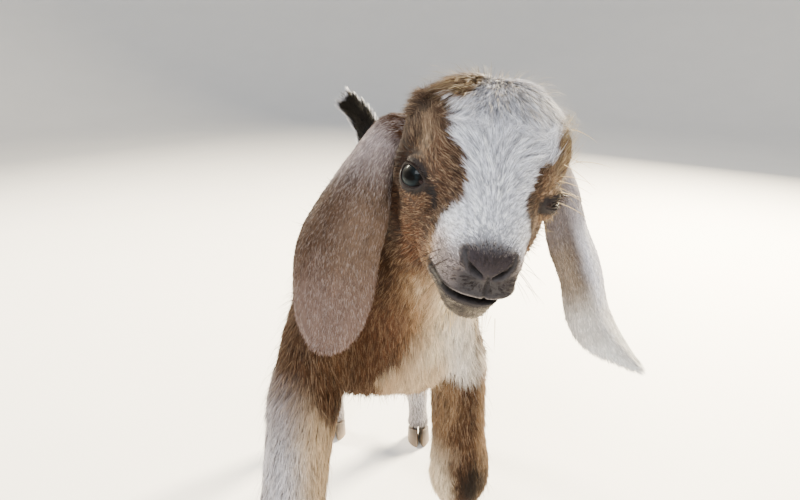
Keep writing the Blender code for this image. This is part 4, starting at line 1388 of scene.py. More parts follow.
def sprinkled(mesh: Mesh, density: Array, rng: Chance) -> tuple[Array, Array]:
    """Spreads places over a mesh, more where the density is high.

    Args:
        mesh: the surface.
        density: places for each square metre, one number for each point of the mesh.
        rng: the seeded source of chance.

    Returns:
        The triangle's three point numbers for each place, and the shares of those three.
    """
    points, corners = points_of(mesh), triangles_of(mesh)
    a, b, c = (points[corners[:, i]] for i in range(3))
    area = np.linalg.norm(np.cross(b - a, c - a), axis=1) / 2
    share = np.cumsum(area * density[corners].mean(axis=1))
    count = int(share[-1])
    at = (np.arange(count) + rng.random(count)) * share[-1] / count
    chosen = corners[np.minimum(np.searchsorted(share, at), len(corners) - 1)]
    u, v = rng.random(count), rng.random(count)
    flip = u + v > 1
    u, v = np.where(flip, 1 - u, u), np.where(flip, 1 - v, v)
    return chosen, np.stack([1 - u - v, u, v], axis=1)


def across(values: Array, chosen: Array, shares: Array) -> Array:
    """Values kept at points, carried to places within the triangles."""
    return np.einsum("nk,nk...->n...", shares, values[chosen])


@dataclass(frozen=True)
class Tuft:
    """How hairs draw together in locks, and how far single hairs differ."""

    size: float
    pull: float = 0.75
    slant: float = 0.22
    stray: float = 0.10
    tone: float = 0.16
    fleck: float = 0.10
    # How much darker the hairs at a lock's edge are: painted shade in the gaps between locks.
    parting_shade: float = 0.0


def tufted(hairs: Hairs, tuft: Tuft, rng: Chance) -> Hairs:
    """Draws hairs together in small locks whose tips meet and that share a slant, a height and a tone.

    Args:
        hairs: the hairs.
        tuft: the locks' width and how strongly they show.
        rng: the seeded source of chance.

    Returns:
        The same hairs, with their slant, rise, length and tone changed.
    """
    count = len(hairs)
    centre, chance = lock_of(hairs.root, tuft.size, 61)
    side = np.cross(hairs.lie, hairs.normal)
    swing = (np.mod(chance * 57.31, 1.0) - 0.5) * 2 * tuft.slant + rng.normal(0, tuft.stray, count)
    swing = swing + grain(hairs.root, tuft.size * 4, 23) * tuft.slant
    towards = np.clip(np.sum((centre - hairs.root) * side, axis=1) * tuft.pull / hairs.length, -0.38, 0.38)
    hairs.lie = unit(hairs.lie + side * (swing + towards)[:, None])
    hairs.rise = hairs.rise * np.clip(0.55 + 0.9 * chance + rng.normal(0, 0.15, count), 0.25, 2.2)
    hairs.length = hairs.length * np.clip(0.86 + 0.28 * chance + rng.normal(0, 0.12, count), 0.5, 1.5)
    tone = 1.0 + tuft.tone * 2 * (np.mod(chance * 131.7, 1.0) - 0.5) + rng.normal(0, tuft.fleck, count)
    # Hairs at a lock's edge are painted darker: painted shade in the gaps between locks.
    off = np.linalg.norm(centre - hairs.root, axis=1) / tuft.size
    tone = tone * (1.0 - tuft.parting_shade * ease(0.35, 0.75, off) * ease(0.0022, 0.0060, hairs.length))
    hairs.colour = np.clip(hairs.colour * np.clip(tone, 0.35, 1.4)[:, None], 0.0, 1.0)
    return hairs


def hair_piece(name: str, hairs: Hairs, steps: int, rng: Chance, bend: float = 0.10) -> Any:
    """Hairs as flat tapering blades: a line that rises off the skin and bends over along the lie.

    The blade's middle is root + lie * length * s + normal * rise * (1 - (1 - s)^2), with s from 0 to 1, and
    its width falls from the root to a point.

    Args:
        name: the piece's name.
        hairs: what to draw.
        steps: pieces along each blade.
        rng: the seeded source of chance.
        bend: how far a blade bends sideways, as a share of its length.

    Returns:
        One object, with the colours kept as Coat and the small patches as OFBake.
    """
    count = len(hairs)
    s = np.linspace(0, 1, steps + 1)[:, None, None]
    side = unit(np.cross(hairs.lie, hairs.normal))
    roll = rng.normal(0, 0.40, count)[:, None]
    flat = side * np.cos(roll) + hairs.normal * np.sin(roll)
    curve = side * (rng.normal(0, bend, count) * hairs.length)[:, None]
    root = hairs.root - hairs.normal * 0.0004
    middle = root + hairs.lie * hairs.length[:, None] * s * (1 - 0.06 * s)
    middle = middle + hairs.normal * hairs.rise[:, None] * (1 - (1 - s) ** 2) + curve * s**2
    half = flat * (hairs.width[:, None] / 2) * (1 - 0.75 * s[:-1] ** 1.3)
    pairs = np.stack([middle[:-1] - half, middle[:-1] + half], axis=2)
    body = pairs.transpose(1, 0, 2, 3).reshape(count, steps * 2, 3)
    points = np.concatenate([body, middle[-1][:, None]], axis=1)
    per = steps * 2 + 1
    strip = np.array([[i, i + 1, i + 2] if i % 2 == 0 else [i + 1, i, i + 2] for i in range(per - 2)])
    corners = (np.arange(count)[:, None, None] * per + strip).reshape(-1, 3)
    piece = mesh_piece(name, points.reshape(-1, 3), corners)
    # Each blade is darker at its root than at its tip: partly darker roots, partly painted shade deep in the
    # coat.
    tone = np.repeat(np.append(np.linspace(0.40, 0.98, steps), 1.14), [2] * steps + [1])
    colour = np.clip(hairs.colour[:, None] * tone[None, :, None], 0, 1).reshape(-1, 3)
    paint(piece.data, "Coat", colour)
    shift_u = np.append(np.tile([-PATCH, PATCH], steps), 0.0)
    shift_v = np.append(np.repeat(np.linspace(-PATCH, PATCH, steps + 1)[:-1], 2), PATCH)
    patch = hairs.unwrapped[:, None] + np.stack([shift_u, shift_v], axis=1)
    layer = piece.data.uv_layers.new(name="OFBake")
    layer.uv.foreach_set("vector", patch.reshape(-1, 2)[corners.ravel()].astype(np.float32).ravel())
    return piece


def short_coat(name: str, hairs: Hairs, slot: str, rng: Chance) -> list:
    """Short hair as dressed pieces of at most MOST_HAIRS hairs, split along the unwrap.

    Args:
        name: the start of each piece's name.
        hairs: what to draw.
        slot: the material slot's name, handed on to dressed.
        rng: the seeded source of chance.

    Returns:
        The pieces.
    """
    made = []
    lots = -(-len(hairs) // MOST_HAIRS)
    for index, rows in enumerate(np.array_split(hairs.unwrapped[:, 1].argsort(), lots)):
        label = f"{name}_{index}"
        piece = hair_piece(label, hairs.only(rows), 2, rng)
        made.append(dressed(piece, HairFinish(label).make(), slot))
        LOG.info("%s: %d hairs", label, len(rows))
    return made


@dataclass
class Coat:
    """The short coat on head, neck, trunk and legs, in pieces by part."""

    skin: Skin
    seed: int = 7
    tufts: dict = field(
        default_factory=lambda: {
            Part.FACE: Tuft(0.0018, 0.85, 0.13, 0.07, 0.18, 0.13, 0.58),
            Part.NECK: Tuft(0.0030, 0.75, 0.15, 0.09, 0.15, 0.12, 0.25),
            Part.TRUNK: Tuft(0.0052, 0.80, 0.22, 0.12, 0.18, 0.12, 0.30),
            Part.LEGS: Tuft(0.0030, 0.75, 0.14, 0.09, 0.12, 0.12, 0.20),
        }
    )
    # Where the neck's coat ends and the trunk's begins.
    withers: float = -0.045
    # By height on the body: length, rise and width of the hair.
    body_length: tuple = ((0.015, 0.0045), (0.06, 0.0060), (0.13, 0.0075), (0.20, 0.0105), (0.26, 0.0130))
    body_rise: tuple = ((0.015, 0.0009), (0.06, 0.0012), (0.13, 0.0015), (0.20, 0.0021), (0.26, 0.0026))
    body_width: tuple = ((0.03, 0.00050), (0.12, 0.00060), (0.25, 0.00078))

    def build(self) -> list:
        """Grows every part of the coat."""
        rng = np.random.default_rng(self.seed)
        mesh = self.skin.piece.data
        chosen, shares = sprinkled(mesh, self._density(Lay(points_of(mesh))), rng)
        root = across(points_of(mesh), chosen, shares)
        normal = unit(across(normals_of(mesh), chosen, shares))
        lie = unit(along_skin(across(self.skin.lie, chosen, shares), normal))
        here = Lay(root)
        length, rise, width = self._sizes(here)
        # A hair shows the marking that lies under the outer part of it.
        over = Lay(root + lie * (0.55 * length)[:, None])
        colour = self._muzzle(Markings().on(over, False), over.head, here, rng)
        hairs = Hairs(root, normal, lie, length, width, rise, colour, np.zeros((len(root), 2)))
        self._guard_hairs(hairs, here, rng)
        self._flecks(hairs, here, rng)
        pieces = []
        split = [here.is_head > 0.5, self._leg(here) > 0.5, root[:, 1] < self.withers]
        part = np.select(split, [Part.FACE.value, Part.LEGS.value, Part.NECK.value], Part.TRUNK.value)
        for kind in Part:
            lot = hairs.only(np.flatnonzero(part == kind.value))
            lot.unwrapped = self._unwrapped(kind, lot)
            lot = tufted(lot, self.tufts[kind], rng)
            slot = "white_coat" if kind is Part.LEGS else "brown_coat"
            pieces += short_coat(f"coat_{kind.value}", lot, slot, rng)
        return pieces

    @staticmethod
    def _muzzle(colour: Array, over: Array, here: Lay, rng: Chance) -> Array:
        """The colours with the muzzle's dark hairs among its light ones.

        Args:
            colour: one colour for each hair.
            over: the head places whose markings the hairs show.
            here: the roots' places.
            rng: the seeded source of chance.

        Returns:
            The new colours: greyed where dark hairs are many, and every dark hair a tone of its own.
        """
        shown = Markings().stubble(over) * here.is_head
        dark = rng.random(len(colour)) < shown
        colour = mixed(colour, Markings.frost * 0.55, 0.92 * ease(0.15, 0.65, shown))
        colour = mixed(colour, Markings.frost * 0.30, ease(0.78, 0.94, shown))
        tone = rng.uniform(0.20, 0.66, len(colour))
        colour = np.where(dark[:, None], Markings.mauve * tone[:, None], colour)
        return colour * (1.0 - 0.40 * shown * ease(-0.0125, -0.0170, over[:, 2]))[:, None]

    @staticmethod
    def _guard_hairs(hairs: Hairs, here: Lay, rng: Chance) -> None:
        """Makes some hairs longer, thinner and more upright, and golden along the head's left and top: partly
        their own colour, partly painted rim light.
        """
        outer = np.maximum(ease(0.026, 0.034, here.head[:, 0]), ease(0.034, 0.044, here.head[:, 2]))
        outer = outer * here.is_head * ease(-0.020, -0.008, here.head[:, 1])
        guard = rng.random(len(hairs)) < 0.030 * (1 - here.is_head) + 0.080 * outer
        hairs.length = hairs.length * (1 + 0.6 * guard)
        hairs.width = hairs.width * (1 - 0.50 * guard)
        upright = np.maximum(hairs.rise * 2.0, (0.34 + 0.14 * here.is_head) * hairs.length)
        hairs.rise = np.where(guard, upright, hairs.rise)
        # The gold on the outer guard hairs is partly painted rim light.
        hairs.colour = mixed(hairs.colour, Markings.backlit_gold, 0.65 * guard * outer)

    @staticmethod
    def _flecks(hairs: Hairs, here: Lay, rng: Chance) -> None:
        """Sets lighter and darker hairs among the brown, and grey ones among the white of the head."""
        speck, colour = rng.random(len(hairs)), hairs.colour
        light = colour.mean(axis=1)
        furry = 1 - here.is_head * ease(-0.040, -0.050, here.head[:, 1])
        furry = furry * (0.55 + 0.45 * here.is_head) * ease(0.016, 0.036, light)
        pale = 0.55 * (speck > 0.76) * ease(0.40, 0.20, light) * furry
        colour = mixed(colour, Markings.brown_light * 1.15, pale)
        dark = 0.60 * (speck < 0.24) * ease(0.30, 0.15, light) * furry
        colour = mixed(colour, Markings.brown_dark * 0.6, dark)
        grey = 0.80 * (speck < 0.14) * ease(0.45, 0.60, light) * here.is_head
        hairs.colour = mixed(colour, Markings.ash, grey)

    @staticmethod
    def _leg(lay: Lay) -> Array:
        """How much a place belongs to any leg."""
        return np.maximum.reduce([lay.leg[name] for name in LEGS])

    def _density(self, lay: Lay) -> Array:
        """Hairs for each square metre: close on the face, wider apart on the trunk, none on bare skin."""
        h = lay.head
        face = 4.0e6 + 5.0e6 * ease(-0.030, -0.055, h[:, 1])
        body = 0.82e6 + 1.22e6 * ease(-0.01, -0.08, lay.points[:, 1])
        legs = 1.12e6
        spread = body + (legs - body) * self._leg(lay)
        spread = spread + (face - spread) * lay.is_head
        bare = FACE.bare(h) * (lay.is_head > 0.5)
        return spread * ease(0.5, 0.1, bare) * ease(0.0150, 0.0190, lay.points[:, 2])

    def _sizes(self, lay: Lay) -> tuple[Array, Array, Array]:
        """Length, rise and width of the hair by place."""
        h = lay.head
        z = lay.points[:, 2]
        radius, _, _ = FACE.lids(h)
        level, within = FACE.mouth_level(h)
        length = 0.0015 + 0.0040 * ease(-0.064, -0.036, h[:, 1]) + 0.0012 * ease(-0.036, -0.010, h[:, 1])
        length = length + 0.0032 * ease(0.012, 0.030, h[:, 2])
        length = length * (0.45 + 0.55 * ease(0.0125, 0.0200, radius))
        lips = within * ease(0.0085, 0.0030, np.abs(level)) * ease(-0.028, -0.036, h[:, 1])
        length = length * (1 - 0.80 * lips)
        fluff = blob(h, (-0.038, 0.027, 0.031), (0.009, 0.010, 0.009))
        length = length + 0.0034 * fluff
        rise = 0.0006 + 0.0012 * ease(0.010, 0.036, h[:, 2]) + 0.0006 * ease(-0.05, 0.0, h[:, 1])
        rise = rise * (0.5 + 0.5 * ease(0.0125, 0.0190, radius)) + 0.0008 * fluff
        body, body_rise = read_off(z, self.body_length), read_off(z, self.body_rise)
        length = body + (length - body) * lay.is_head
        rise = body_rise + (rise - body_rise) * lay.is_head
        width = read_off(z, self.body_width)
        width = width - 0.00018 * ease(-0.01, -0.08, lay.points[:, 1]) * ease(0.15, 0.25, z)
        fine = 0.00026 - 0.00009 * ease(-0.040, -0.054, h[:, 1])
        return length, rise, width + (fine - width) * lay.is_head

    @staticmethod
    def _unwrapped(kind: Part, hairs: Hairs) -> Array:
        """Each root's place on an unwrap of its part: round the part's own axis, and along it."""
        x, y, z = hairs.root.T
        if kind is Part.FACE:
            h = HEAD.into(hairs.root)
            return on_map(turn_share(h[:, 0], h[:, 2]), (h[:, 1] + 0.07) / 0.15)
        if kind is Part.LEGS:
            found = [near_path(hairs.root, GUIDES[name]) for name in LEGS]
            nearest = np.stack([gap for gap, _, _ in found], axis=1).argmin(axis=1)
            share = np.stack([share for _, share, _ in found], axis=1)[np.arange(len(hairs)), nearest]
            turn = turn_share(hairs.normal[:, 0], hairs.normal[:, 1])
            return on_map((nearest + turn) / len(LEGS), share)
        turn = turn_share(x + 0.0268, z - 0.30)
        if kind is Part.TRUNK:
            return on_map(turn, (y + 0.16) / 0.42)
        _, share, _ = near_path(hairs.root, GUIDES["neck"])
        return on_map(turn, (share + (0.42 - z) * 2) / 1.6)


@dataclass(frozen=True)
class EarTones:
    """One ear's colours as hex figures: its face, its turned edge, the tip, the top and the dark strands."""

    face: str
    edge: str
    tip: str
    top: str
    strand: str


@dataclass
class Ear:
    """One hanging ear: a cupped leaf, hairy outside, with the hair round its rim a little shorter and turned
    outwards.
    """

    name: str
    side: int
    stations: tuple
    shape: tuple
    tones: EarTones
    turned: tuple = (-0.25, 0.45)
    thickness: float = 0.0022
    trim: float = 0.0016
    around: int = 36
    seed: int = 3
    # Added to the stations' places, to bring them to the frame that the body was laid out in.
    moved: tuple = (-0.0268, 0.0386, 0.0)
    hairs_each_metre: float = 3.4e6
    hair_width: float = 0.00028

    def build(self) -> list:
        """Makes the ear's leaf and its hair."""
        rows, frames = self._frames()
        leaf = self._leaf(rows, frames)
        return [leaf, *self._hair(leaf)]

    def _frames(self) -> tuple[Array, tuple]:
        """The carried stations, and the ways along, across and out at each."""
        joined = [[*place, *way, *size] for (place, way), size in zip(self.stations, self.shape)]
        rows = carried(joined, 7)
        rows[:, :3] += np.array(self.moved)
        along = unit(np.gradient(rows[:, :3], axis=0))
        sideways = unit(along_skin(rows[:, 3:6], along))
        out = -self.side * np.cross(along, sideways)
        return rows, (along, sideways, out)

    def _spots(self, points: Array) -> tuple[Array, Array, Array]:
        """Where places are on the ear: the nearest station, the share of the length passed, and v across."""
        rows, (_, sideways, _) = self._frames()
        at = np.argmin(np.linalg.norm(points[:, None] - rows[None, :, :3], axis=2), axis=1)
        passed = np.append(0.0, np.cumsum(np.linalg.norm(np.diff(rows[:, :3], axis=0), axis=1)))
        v = np.sum((points - rows[at, :3]) * sideways[at], axis=1) / np.maximum(rows[at, 6] / 2, 0.004)
        return at, passed[at] / passed[-1], v

    def _leaf(self, rows: Array, frames: tuple) -> Piece:
        """The leaf as closed rings: over the outer face from rim to rim and back over the inner face.

        A ring's place is v = cos(turn) across the ear, and its half thickness is sin(turn) drawn out flat, so
        that the rim is round; the whole ring is bent round the cupping angle.
        """
        along, sideways, out = frames
        turn = np.linspace(0, 2 * np.pi, self.around, endpoint=False)
        v = np.cos(turn)
        lift = np.sign(np.sin(turn)) * np.abs(np.sin(turn)) ** 0.5
        width = np.maximum(rows[:, 6:7] - 2 * self.trim, 0.004)
        half = rows[:, 7:8]
        radius = width / (2 * half)
        swing = half * v
        normal = np.sin(swing)[..., None] * sideways[:, None] + np.cos(swing)[..., None] * out[:, None]
        centre = rows[:, None, :3] + radius[..., None] * (normal - out[:, None])
        steps = len(rows)
        down = np.linspace(0, 1, steps)
        thin = self.thickness / 2 * read_off(down, ((0, 1.3), (0.5, 1.0), (0.93, 0.8), (1, 0.3)))
        down = down[:, None]
        folds = 0.0009 * bell(v + 0.62, 0.10) - 0.0007 * bell(v + 0.44, 0.09) + 0.0006 * bell(v - 0.15, 0.14)
        folds = folds * ease(0.30, 0.60, down) * ease(1.0, 0.90, down)
        points = centre + normal * (lift * thin[:, None] + folds)[..., None]
        ends = [points[0].mean(axis=0), points[-1].mean(axis=0) + along[-1] * 0.0006]
        points = np.vstack([points.reshape(-1, 3), ends])
        top_fan = fan(len(points) - 2, 0, self.around)[:, [1, 0, 2]]
        tip_fan = fan(len(points) - 1, (steps - 1) * self.around, self.around)[:, [1, 2, 0]]
        faces = ring_quads(steps, self.around).tolist() + top_fan.tolist() + tip_fan.tolist()
        mesh = bpy.data.meshes.new(f"leaf_{self.name}")
        mesh.from_pydata((points + ORIGIN).tolist(), [], faces)
        turn_outwards(mesh)
        mesh.shade_smooth()
        lay = points_of(mesh)
        # The leaf under the hair is painted at 0.55 of the hair's colour: painted shade beneath the hair.
        paint(mesh, "Coat", np.clip(self.colour(lay) * 0.55, 0, 1))
        keep_value(mesh, "Bare", np.zeros(len(lay)))
        piece = placed(f"leaf_{self.name}", mesh)
        return dressed(piece, SkinFinish(f"skin_{self.name}").make(), "ear_coat", self.name)

    def colour(self, points: Array) -> Array:
        """Roan: fine lengthwise streaks of taupe and grey, with this side's own pale and dark parts."""
        _, share, v = self._spots(points)
        tones = self.tones
        tip, strand = shade(tones.tip), shade(tones.strand)
        patchy = grain(points, 0.012, 43 + self.side)
        streak = grain(np.stack([v * 14, share * 9, 0 * v], axis=1), 1.0, 47)
        edge = v + 0.10 * patchy + 0.22 * (self.side > 0) * ease(0.50, 0.78, share)
        colour = mixed(shade(tones.face), shade(tones.edge), ease(*self.turned, edge))
        colour = mixed(colour, tip, ease(0.60, 0.85, share + 0.05 * patchy))
        colour = mixed(colour, strand, 0.75 * bell(share - 0.32, 0.07) * ease(-0.3, 0.5, streak))
        colour = mixed(colour, shade(tones.top), ease(0.42, 0.18, share + 0.05 * streak + 0.07 * v))
        root = Markings.brown_light if self.side > 0 else Markings.brown * 0.8
        colour = mixed(colour, root, ease(0.17, 0.09, share))
        colour = mixed(colour, tip * 1.25, 0.5 * ease(0.86, 0.97, np.abs(v)))
        if self.side > 0:
            colour = mixed(colour, Markings.rose_grey, 0.8 * ease(-0.2, 0.5, v) * ease(0.50, 0.38, share))
            middle = ease(0.30, 0.42, share) * ease(0.70, 0.55, share)
            colour = mixed(colour, strand, 0.7 * bell(v - 0.45, 0.10) * middle)
        return np.clip(colour * (1 + 0.14 * streak)[:, None], 0, 1)

    def _hair(self, leaf: Piece) -> list:
        """Short fine hair on both faces, turned outwards a little on the rim."""
        rng = np.random.default_rng(self.seed)
        mesh = leaf.data
        _, (along, sideways, out) = self._frames()
        points, normals = points_of(mesh), normals_of(mesh)
        chosen, shares = sprinkled(mesh, np.full(len(points), self.hairs_each_metre), rng)
        root = across(points, chosen, shares)
        normal = unit(across(normals, chosen, shares))
        at, share, v = self._spots(root)
        rim = np.clip(ease(0.84, 0.97, np.abs(v)) + ease(0.95, 0.99, share), 0, 1)
        lie = along[at] + sideways[at] * (0.22 * v)[:, None] + normal * (0.30 * rim)[:, None]
        lie = unit(along_skin(lie, normal, (1 - rim)[:, None]))
        inner = np.sum(normal * out[at], axis=1) < 0
        count = len(root)
        # The inner face has little more than half the hair of the outer one.
        keep = ~(inner & (rng.random(count) < 0.45))
        length = 0.0042 - 0.0008 * rim + 0.0020 * ease(0.20, 0.05, share)
        colour = self.colour(root)
        speck = rng.random(count)
        colour = np.where((speck < 0.30)[:, None], colour * 0.55, colour)
        pale = (speck > 0.72) * (0.20 + 0.25 * ease(0.45, 0.25, share))
        colour = mixed(colour, Markings.pale_hair, pale)
        uv = on_map(0.25 + 0.23 * v + 0.5 * inner, share)
        rise = 0.0006 + 0.0003 * ease(0.20, 0.05, share)
        width = np.full(count, self.hair_width)
        hairs = Hairs(root, normal, lie, length, width, rise, colour, uv).only(keep)
        hairs = tufted(hairs, Tuft(0.0020, 0.35, 0.10, 0.07, 0.07, 0.08), rng)
        return short_coat(f"coat_{self.name}", hairs, "ear_coat", rng)


EAR_RIGHT = Ear(
    "ear_right",
    -1,
    (
        ((0.0170, -0.1780, 0.4280), (0.30, -0.60, -0.60)),
        ((0.0000, -0.1800, 0.4280), (0.40, -0.50, -0.60)),
        ((-0.0130, -0.1840, 0.4135), (0.75, -0.45, -0.30)),
        ((-0.0252, -0.1900, 0.3885), (0.90, -0.42, -0.05)),
        ((-0.0364, -0.1960, 0.3610), (0.92, -0.38, 0.0)),
        ((-0.0400, -0.2010, 0.3325), (0.92, -0.36, 0.0)),
        ((-0.0421, -0.2040, 0.3130), (0.93, -0.35, 0.0)),
        ((-0.0442, -0.2050, 0.3030), (0.93, -0.35, 0.0)),
    ),
    (
        (0.030, 1.70), (0.033, 1.60), (0.038, 1.35), (0.0545, 1.00), (0.0605, 0.75), (0.0560, 0.66),
        (0.0390, 0.52), (0.016, 0.32),
    ),
    EarTones("4F3827", "6F5847", "786157", "A09190", "34261F"),
)
EAR_LEFT = Ear(
    "ear_left",
    1,
    (
        ((0.0680, -0.1820, 0.4060), (-0.35, -0.20, -0.60)),
        ((0.0890, -0.1830, 0.4090), (-0.40, -0.40, -0.60)),
        ((0.1020, -0.1870, 0.3940), (-0.55, -0.70, -0.30)),
        ((0.1084, -0.1930, 0.3690), (-0.62, -0.78, -0.10)),
        ((0.1152, -0.2000, 0.3470), (-0.64, -0.77, 0.0)),
        ((0.1198, -0.2090, 0.3200), (-0.66, -0.75, 0.0)),
        ((0.1335, -0.2170, 0.2995), (-0.64, -0.77, 0.0)),
        ((0.1415, -0.2210, 0.2915), (-0.62, -0.79, 0.0)),
    ),
    (
        (0.030, 1.70), (0.034, 1.60), (0.0445, 1.35), (0.0560, 1.00), (0.060, 0.75), (0.056, 0.70),
        (0.024, 0.60), (0.010, 0.40),
    ),
    EarTones("F4F2FC", "93806C", "FBF6EF", "C9C1C6", "5E5048"),
    (0.15, 0.62),
    seed=5,
)


@dataclass
class Tail:
    """The short tail, carried up: a tapering core with long hair, black above and white round the edge."""

    # Place and radius of the core, from root to tip.
    stations: tuple = (
        (-0.0248, 0.2050, 0.3290, 0.0120), (-0.0248, 0.2106, 0.3340, 0.0120),
        (-0.0248, 0.2286, 0.3500, 0.0110), (-0.0288, 0.2386, 0.3660, 0.0095),
        (-0.0368, 0.2406, 0.3820, 0.0082), (-0.0468, 0.2396, 0.3950, 0.0066),
        (-0.0540, 0.2378, 0.4022, 0.0034),
    )
    sides: int = 20
    hairs: int = 9000
    hair_width: float = 0.0008
    seed: int = 11

    def build(self) -> list:
        """Makes core and hair."""
        rows = carried(self.stations, 6)
        core = tube_piece("tail_core", rows[None, :, :3], rows[None, :, 3], self.sides)
        count = len(core.data.vertices)
        paint(core.data, "Coat", np.tile(Markings.black, (count, 1)))
        keep_value(core.data, "Bare", np.zeros(count))
        return [dressed(core, SkinFinish("skin_tail").make(), "tail_coat", "tail"), self._hair(rows)]

    def _hair(self, rows: Array) -> Piece:
        """Long blades that leave the core sideways and run on towards the tip."""
        rng = np.random.default_rng(self.seed)
        share = rng.random(self.hairs) ** 0.85
        at = share * (len(rows) - 2)
        index = at.astype(int)
        part = (at - index)[:, None]
        place = rows[index] * (1 - part) + rows[index + 1] * part
        along = unit(rows[index + 1, :3] - rows[index, :3])
        back = np.array([0.0, 1.0, 0.0])
        sideways = unit(np.cross(along, back))
        out = unit(np.cross(sideways, along))
        turn = rng.random(self.hairs) * 2 * np.pi
        normal = sideways * np.cos(turn)[:, None] + out * np.sin(turn)[:, None]
        root = place[:, :3] + normal * place[:, 3:4] * 0.95
        edge = np.abs(np.cos(turn)) ** 1.5
        lie = unit(along * 1.0 + sideways * (np.sign(np.cos(turn)) * edge * 0.34)[:, None])
        length = 0.0088 + 0.0036 * edge
        pale = ease(0.91, 1.00, edge + rng.normal(0, 0.04, self.hairs))
        colour = mixed(Markings.black * 1.2, Markings.white, pale)
        colour = mixed(colour, Markings.white, ease(0.94, 0.99, share) * (rng.random(self.hairs) < 0.5))
        uv = on_map(turn / (2 * np.pi), share)
        rise = 0.0018 + 0.0008 * edge
        width = np.full(self.hairs, self.hair_width)
        hairs = Hairs(root, normal, lie, length, width, rise, colour, uv)
        hairs = tufted(hairs, Tuft(0.0040, 0.6, 0.16, 0.10, 0.20, 0.12), rng)
        piece = hair_piece("coat_tail", hairs, 4, rng, 0.12)
        return dressed(piece, HairFinish("coat_tail").make(), "tail_coat")


@dataclass
class Eyes:
    """Eyeballs with dark iris and level pupil, and moist lid margins."""

    build_of: EyeBuild = EyeBuild()
    iris: float = 0.0066
    pupil: tuple = (0.0043, 0.0019)
    bulge: float = 0.0006
    rings: int = 64
    sides: int = 96
    # The clear coat's weight on the right eye, and on the left, which lies in shade.
    gloss: tuple = (0.16, 0.04)

    def build(self) -> list:
        """Makes both eyes."""
        made = []
        margin = WetFinish("lid_margin", "1E1716").make()
        corner = WetFinish("eye_corner", "241715").make()
        for name, side in (("right", -1), ("left", 1)):
            wet = EyeFinish(f"eyeball_{name}", self.gloss[side > 0]).make()
            made.append(dressed(self._ball(name, side), wet, "eye", f"eye_{name}"))
            made.append(dressed(self._rim(name, side), margin, "brown_coat"))
            made.append(dressed(self._fleck(name, side), corner, "brown_coat"))
        return made

    def _ball(self, name: str, side: int) -> Piece:
        """A globe by polar angle from the eye's aim; the clear front bulges out a little.

        Radius is the eye's own plus the bulge, eased in where the place across falls under the iris.
        """
        centre, across_it, up, out = self.build_of.axes(side)
        polar = (np.linspace(0, 1, self.rings + 1) ** 1.15 * np.pi)[:, None]
        turn = np.linspace(0, 2 * np.pi, self.sides, endpoint=False)[None]
        reach = self.build_of.radius * np.sin(polar)
        swell = self.bulge * ease(1.15 * self.iris, 0.2 * self.iris, np.where(polar < np.pi / 2, reach, 1.0))
        radius = self.build_of.radius + swell
        wide = radius * np.sin(polar) * np.cos(turn)
        high = radius * np.sin(polar) * np.sin(turn)
        deep = radius * np.cos(polar) + 0 * turn
        grid = wide[..., None] * across_it + high[..., None] * up + deep[..., None] * out
        globe = HEAD.out((centre + grid[1:-1]).reshape(-1, 3))
        points = np.vstack([globe, HEAD.out(centre + grid[[0, -1], 0])])
        # The two poles are the last two points, and each closes its ring with a fan.
        front = fan(len(points) - 2, 0, self.sides)
        rear = fan(len(points) - 1, len(globe) - self.sides, self.sides)[:, [0, 2, 1]]
        faces = np.vstack([ring_triangles(self.rings - 1, self.sides), front, rear])
        piece = mesh_piece(f"eyeball_{name}", points, faces)
        turn_outwards(piece.data)
        piece.data.shade_smooth()
        q = HEAD.into(points) - centre
        paint(piece.data, "Coat", self._painted(q @ across_it, q @ up, q @ out))
        return piece

    def _painted(self, wide: Array, high: Array, deep: Array) -> Array:
        """Iris ring, streaks and level pupil by the place across the eye."""
        reach = np.sqrt(wide**2 + high**2)
        turn = np.arctan2(high, wide)
        spot = np.stack([np.cos(turn) * 0.01, np.sin(turn) * 0.01, reach], axis=1)
        streak = 0.5 + 0.5 * grain(spot, 0.0009, 53)
        iris = mixed(Markings.iris_deep, Markings.iris_light, streak * ease(0.0020, 0.0048, reach))
        iris = mixed(iris, Markings.iris_low, 0.7 * ease(-0.0012, -0.0042, high))
        iris = mixed(iris, Markings.iris_rim, ease(0.0052, 0.0064, reach))
        slot = (np.abs(wide) / self.pupil[0]) ** 3 + (np.abs(high) / self.pupil[1]) ** 3
        colour = mixed(iris, Markings.pupil, ease(1.25, 0.85, slot))
        white = ease(self.iris, self.iris * 1.08, reach) + (deep < 0)
        return mixed(colour, Markings.eye_white, np.clip(white, 0, 1))

    def _rim(self, name: str, side: int) -> Piece:
        """The lid margin: a thin tube that runs round the opening just off the ball."""
        turn = np.linspace(0, 2 * np.pi, self.sides, endpoint=False)
        path = HEAD.out(self.build_of.on_ball(side, *self.build_of.edge(side, turn), 0.0005))
        thick = 0.00080 + 0.00018 * np.sin(turn)
        return tube_piece(f"lid_margin_{name}", path[None], thick[None], 10, True)

    def _fleck(self, name: str, side: int) -> Piece:
        """The small fold of flesh in the eye's inner corner."""
        _, across_it, _, _ = self.build_of.axes(side)
        inner = np.sign(across_it @ np.array([-side, -1.0, 0.0]))
        share = np.linspace(0, 1, 14)
        wide = inner * (self.build_of.half_width - 0.0002 - 0.0026 * share)
        high = -0.0004 + 0.0004 * share
        path = HEAD.out(self.build_of.on_ball(side, wide, high, 0.0002))
        thick = 0.0003 + 0.0010 * np.sin(np.pi * share) ** 0.8 * (1 - 0.5 * share)
        return tube_piece(f"eye_corner_{name}", path[None], thick[None], 10)


